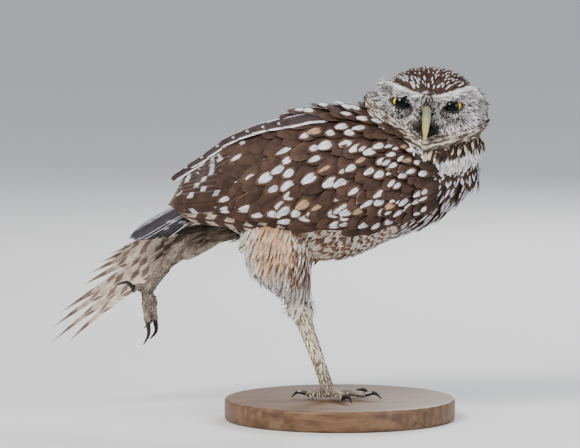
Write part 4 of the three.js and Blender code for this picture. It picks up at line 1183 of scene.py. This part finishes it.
EYE_RADIUS = 8.2
IRIS_RADIUS = 5.9
CORNEA_RISE = 1.0
EYE_AROUND = 48
for side, hand in ((-1, "right"), (1, "left")):
    centre = in_head(eye_place(side))
    gaze = unit(in_head([1.0, -side * 0.10, 0.06]) - in_head([0, 0, 0]))
    across = unit(np.cross(gaze, [0, 0, 1]))
    upward = np.cross(across, gaze)
    points, faces = [], []
    angles = np.concatenate([np.linspace(0, 1.0, 18)[1:], np.linspace(1.0, math.pi, 10)[1:-1]])
    # the cornea stands out a little over the iris, as on a living eye
    points.append(centre + gaze * (EYE_RADIUS + CORNEA_RISE))
    for a in angles:
        r = EYE_RADIUS + CORNEA_RISE * (1 - smooth(0.0, 0.85, a))
        for j in range(EYE_AROUND):
            w = 2 * math.pi * j / EYE_AROUND
            radial = across * math.cos(w) + upward * math.sin(w)
            points.append(centre + gaze * r * math.cos(a) + radial * r * math.sin(a))
    points.append(centre - gaze * EYE_RADIUS)
    for j in range(EYE_AROUND):
        faces.append((0, 1 + (j + 1) % EYE_AROUND, 1 + j))
    for i in range(len(angles) - 1):
        for j in range(EYE_AROUND):
            a, b = 1 + i * EYE_AROUND + j, 1 + i * EYE_AROUND + (j + 1) % EYE_AROUND
            faces.append((a, b, b + EYE_AROUND, a + EYE_AROUND))
    last = 1 + (len(angles) - 1) * EYE_AROUND
    for j in range(EYE_AROUND):
        faces.append((last + j, last + (j + 1) % EYE_AROUND, len(points) - 1))
    eye = dress(loose(f"eyeball_{hand}", points, faces), iris_stuff)
    layer = eye.data.uv_layers.new(name="Ring")
    spots = np.array(points)
    rel = spots - centre
    away = np.hypot(rel @ across, rel @ upward) / IRIS_RADIUS
    away = np.where(rel @ gaze > 0, away, 2.0)
    turn = np.arctan2(rel @ upward, rel @ across) / (2 * math.pi)
    for poly in eye.data.polygons:
        turns = [turn[eye.data.loops[k].vertex_index] for k in poly.loop_indices]
        for k in poly.loop_indices:
            v = eye.data.loops[k].vertex_index
            u = turn[v]
            if u - min(turns) > 0.5:
                u -= 1
            layer.data[k].uv = (u, away[v])
    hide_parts(f"eye_{hand}")

# The lids: thick black rims round each opening, the upper one cut straight by the brow.

lid_skin, shader, place = finish("lid_skin", 0.42)
wrinkle = noise(place, 1500.0, 3.0)
feed(shader, "Base Color", wrinkle.mix((0.010, 0.008, 0.008), (0.045, 0.038, 0.036)))
bump(shader, wrinkle, 0.4, 0.0002)
LID_WIDE = 5.5
LID_UP = 1.5
LID_DOWN = 3.1
LID_SLANT = 1.5
LID_REACH = 1.22
EYE_LIFT = 1.0


def opening(side, a):
    """The lids' edge as directions from the eyeball's centre, in head axes."""
    y = LID_WIDE * math.cos(a)
    high, slant = (LID_UP, 1.0) if math.sin(a) > 0 else (LID_DOWN, 0.55)
    z = EYE_LIFT + high * math.sin(a) + LID_SLANT * math.cos(a) * slant
    x = math.sqrt((EYE_RADIUS + 0.4) ** 2 - y * y - z * z)
    return np.array([x, side * y, z])


def reach_of_lid(turn):
    """The direction in which a lid ends, at a turn round the eye."""
    wide = math.sin(LID_REACH)
    return np.stack([0 * turn + math.cos(LID_REACH), wide * np.cos(turn), wide * np.sin(turn)], -1)


def ring_of_rings(rings, flip):
    points = np.concatenate(rings)
    many, per = len(rings), len(rings[0])
    faces = []
    for i in range(many):
        for j in range(per):
            a, b = i * per + j, i * per + (j + 1) % per
            c, d = ((i + 1) % many) * per + (j + 1) % per, ((i + 1) % many) * per + j
            faces.append((a, d, c, b) if flip else (a, b, c, d))
    return points, faces


LID_STEPS = 56
for side, hand in ((-1, "right"), (1, "left")):
    centre = eye_place(side)
    rims, covers = [], []
    for a in np.linspace(0, 2 * math.pi, LID_STEPS + 1)[:-1]:
        edge = opening(side, a)
        outward = unit(edge)
        flat = unit(np.array([0, side * LID_WIDE * math.cos(a), edge[2] - EYE_LIFT + 0.001]))
        radial = unit(flat - outward * (flat @ outward))
        ring = [
            centre + edge + radial * (0.25 + 0.42 * math.cos(b)) + outward * 0.50 * math.sin(b)
            for b in np.linspace(0, 2 * math.pi, 9)[:-1]
        ]
        rims.append(in_head(np.array(ring)))
        # the lid behind the rim lies over the ball, out to where the face's skin takes over
        w = np.arctan2(flat[2], flat[1])
        far = reach_of_lid(w)
        shares = (0.0, 0.12, 0.3, 0.55, 0.8, 1.0)
        outer = [unit(lerp(outward, far, t)) * (EYE_RADIUS + 0.35 + 0.35 * min(1, t * 4)) for t in shares]
        inner = [unit(lerp(outward, far, t)) * (EYE_RADIUS + 0.05) for t in shares[::-1]]
        covers.append(in_head(centre + np.array(outer + inner)))
    for name, rings in ((f"lid_rims_{hand}", rims), (f"eyelids_{hand}", covers)):
        dress(loose(name, *ring_of_rings(rings, side > 0)), lid_skin)

    # short feathers cover the lids, fanning out from the rim
    many = 1500
    w = 2 * math.pi * random.random(many)
    t = 0.05 + 0.95 * random.random(many)
    edges = np.array([opening(side, angle) for angle in w])
    outward = unit(edges)
    flat = unit(np.stack([0 * w, side * LID_WIDE * np.cos(w), edges[:, 2] - EYE_LIFT], 1))
    turn = np.arctan2(flat[:, 2], flat[:, 1])
    far = reach_of_lid(turn)
    at = unit(lerp(outward, far, t[:, None]))
    above = np.sin(w) > 0
    droop = np.where(above[:, None], [0, side * 0.5, -0.35], [0, side * 0.15, -0.25])
    along = far - outward + droop
    along = unit(along - at * np.sum(along * at, 1, keepdims=True))
    roots_here = in_head(centre + at * (EYE_RADIUS + 0.7))
    chance = random.random(many)
    tint = np.where((chance > 0.66)[:, None], DARK * 1.6, np.array([0.62, 0.59, 0.60]))
    tint = lerp(DARK * 1.3, tint, smooth(0.03, 0.09, t)[:, None])
    corner = smooth(0.2, -0.9, np.cos(w))[:, None] * smooth(0.9, 0.3, t)[:, None]
    tint = lerp(tint, DARK * 1.4, corner * 0.8)
    tint = np.where((above & (t > 0.2))[:, None], np.array([0.62, 0.59, 0.56]), tint)
    values = pattern(many, np.ones(3), WHITE, fringe=0.0, root_shade=0.2)
    values["tint"] = rgba(tint * (0.8 + 0.35 * random.random((many, 1))))
    plant(
        f"coat_lids_{hand}", roots_here, turned_out(along), turned_out(at),
        lerp(1.8, 3.8, t), np.full(many, 0.75), np.full(many, 0.10), np.full(many, 0.5), values,
        True, rings=3, tip=0.8,
    )

# The bill: a short hooked bill of pale greenish horn, with a soft grey cere and round nostrils.

bill_horn, shader, place = finish("bill_horn", 0.34)
height = place.node("ShaderNodeSeparateXYZ", {}, {0: place}, out=2)
grain = noise(place, 500.0, 4.0)
shade = (height + grain * 0.0015 - 0.0007).step(0.1795, 0.1655)
tone = shade.mix((0.235, 0.245, 0.165), (0.52, 0.47, 0.17))
tip_tone = (height + grain * 0.001).step(0.1655, 0.1630).mix(tone, (0.62, 0.58, 0.30))
feed(shader, "Base Color", tip_tone.shade(grain * 0.35 + 0.8))
feed(shader, "Roughness", grain * 0.2 + 0.24)
bump(shader, grain, 0.2, 0.0002)
shader.inputs["Subsurface Weight"].default_value = 0.15
shader.inputs["Subsurface Radius"].default_value = (0.002, 0.0015, 0.0008)
upper = limb_rings(
    [[17, 0, 0.6], [26.5, 0, 0.2], [31.5, 0, -3.5], [33.2, 0, -9], [31.2, 0, -16]],
    [[0, 3.2, 2.7], [0.3, 3.1, 2.6], [0.55, 2.8, 2.45], [0.8, 1.8, 1.65], [0.94, 0.9, 0.8], [1, 0.3, 0.3]],
    36, 28, [0, 1, 0],
)
lower = limb_rings(
    [[18, 0, -7.2], [26, 0, -9.3], [29.6, 0, -13.2]],
    [[0, 2.0, 2.3], [0.5, 1.7, 2.0], [0.85, 1.1, 1.3], [1, 0.3, 0.4]], 20, 20, [0, 1, 0],
)
for name, node, rings in (("bill_top", "bill_upper", upper), ("bill_under", "bill_lower", lower)):
    points, faces = loft(rings)
    bill = dress(loose(name, in_head(np.array(points)), faces), bill_horn)
    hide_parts(node)

# The studio: a pale floor under the stand, wide soft lights, and a camera at the photograph's angle.

bpy.ops.object.select_all(action="DESELECT")
bpy.ops.mesh.primitive_plane_add(size=12, location=(0, 0, 0))
floor = bpy.context.active_object
floor.name = "floor"
floor_paint, shader, place = finish("floor_paint", 0.8)
shader.inputs["Base Color"].default_value = (0.72, 0.71, 0.70, 1)
floor.data.materials.append(floor_paint)

world = bpy.data.worlds.new("studio")
bpy.context.scene.world = world
world.use_nodes = True
world.node_tree.nodes["Background"].inputs["Color"].default_value = (0.80, 0.84, 0.90, 1)
world.node_tree.nodes["Background"].inputs["Strength"].default_value = 0.62


def lamp(name, place, aim, size, power, colour):
    light = bpy.data.lights.new(name, "AREA")
    light.shape = "DISK"
    light.size = size
    light.energy = power
    light.color = colour
    made = bpy.data.objects.new(name, light)
    bpy.context.scene.collection.objects.link(made)
    made.location = place
    made.rotation_euler = (Vector(aim) - Vector(place)).to_track_quat("-Z", "Y").to_euler()


lamp("key", (-0.75, -1.15, 1.25), (0, 0, 0.12), 0.7, 26, (1.0, 0.97, 0.93))
lamp("fill", (1.3, -0.9, 0.6), (0, 0, 0.12), 0.9, 9, (0.93, 0.96, 1.0))
lamp("rim", (0.4, 1.2, 0.9), (0, 0, 0.14), 0.6, 10, (1.0, 1.0, 1.0))

AIM = Vector((-0.0285, -0.005, 0.1123))
TILT = math.radians(5)
DISTANCE = 2.755
bpy.ops.object.camera_add(location=AIM + Vector((0, -math.cos(TILT), math.sin(TILT))) * DISTANCE)
camera = bpy.context.active_object
camera.rotation_euler = (AIM - camera.location).to_track_quat("-Z", "Y").to_euler()
camera.data.lens = 300
camera.data.sensor_width = 36
camera.data.clip_end = 50
bpy.context.scene.camera = camera
bpy.context.scene.view_settings.view_transform = "AgX"
bpy.context.scene.view_settings.look = "AgX - Medium High Contrast"
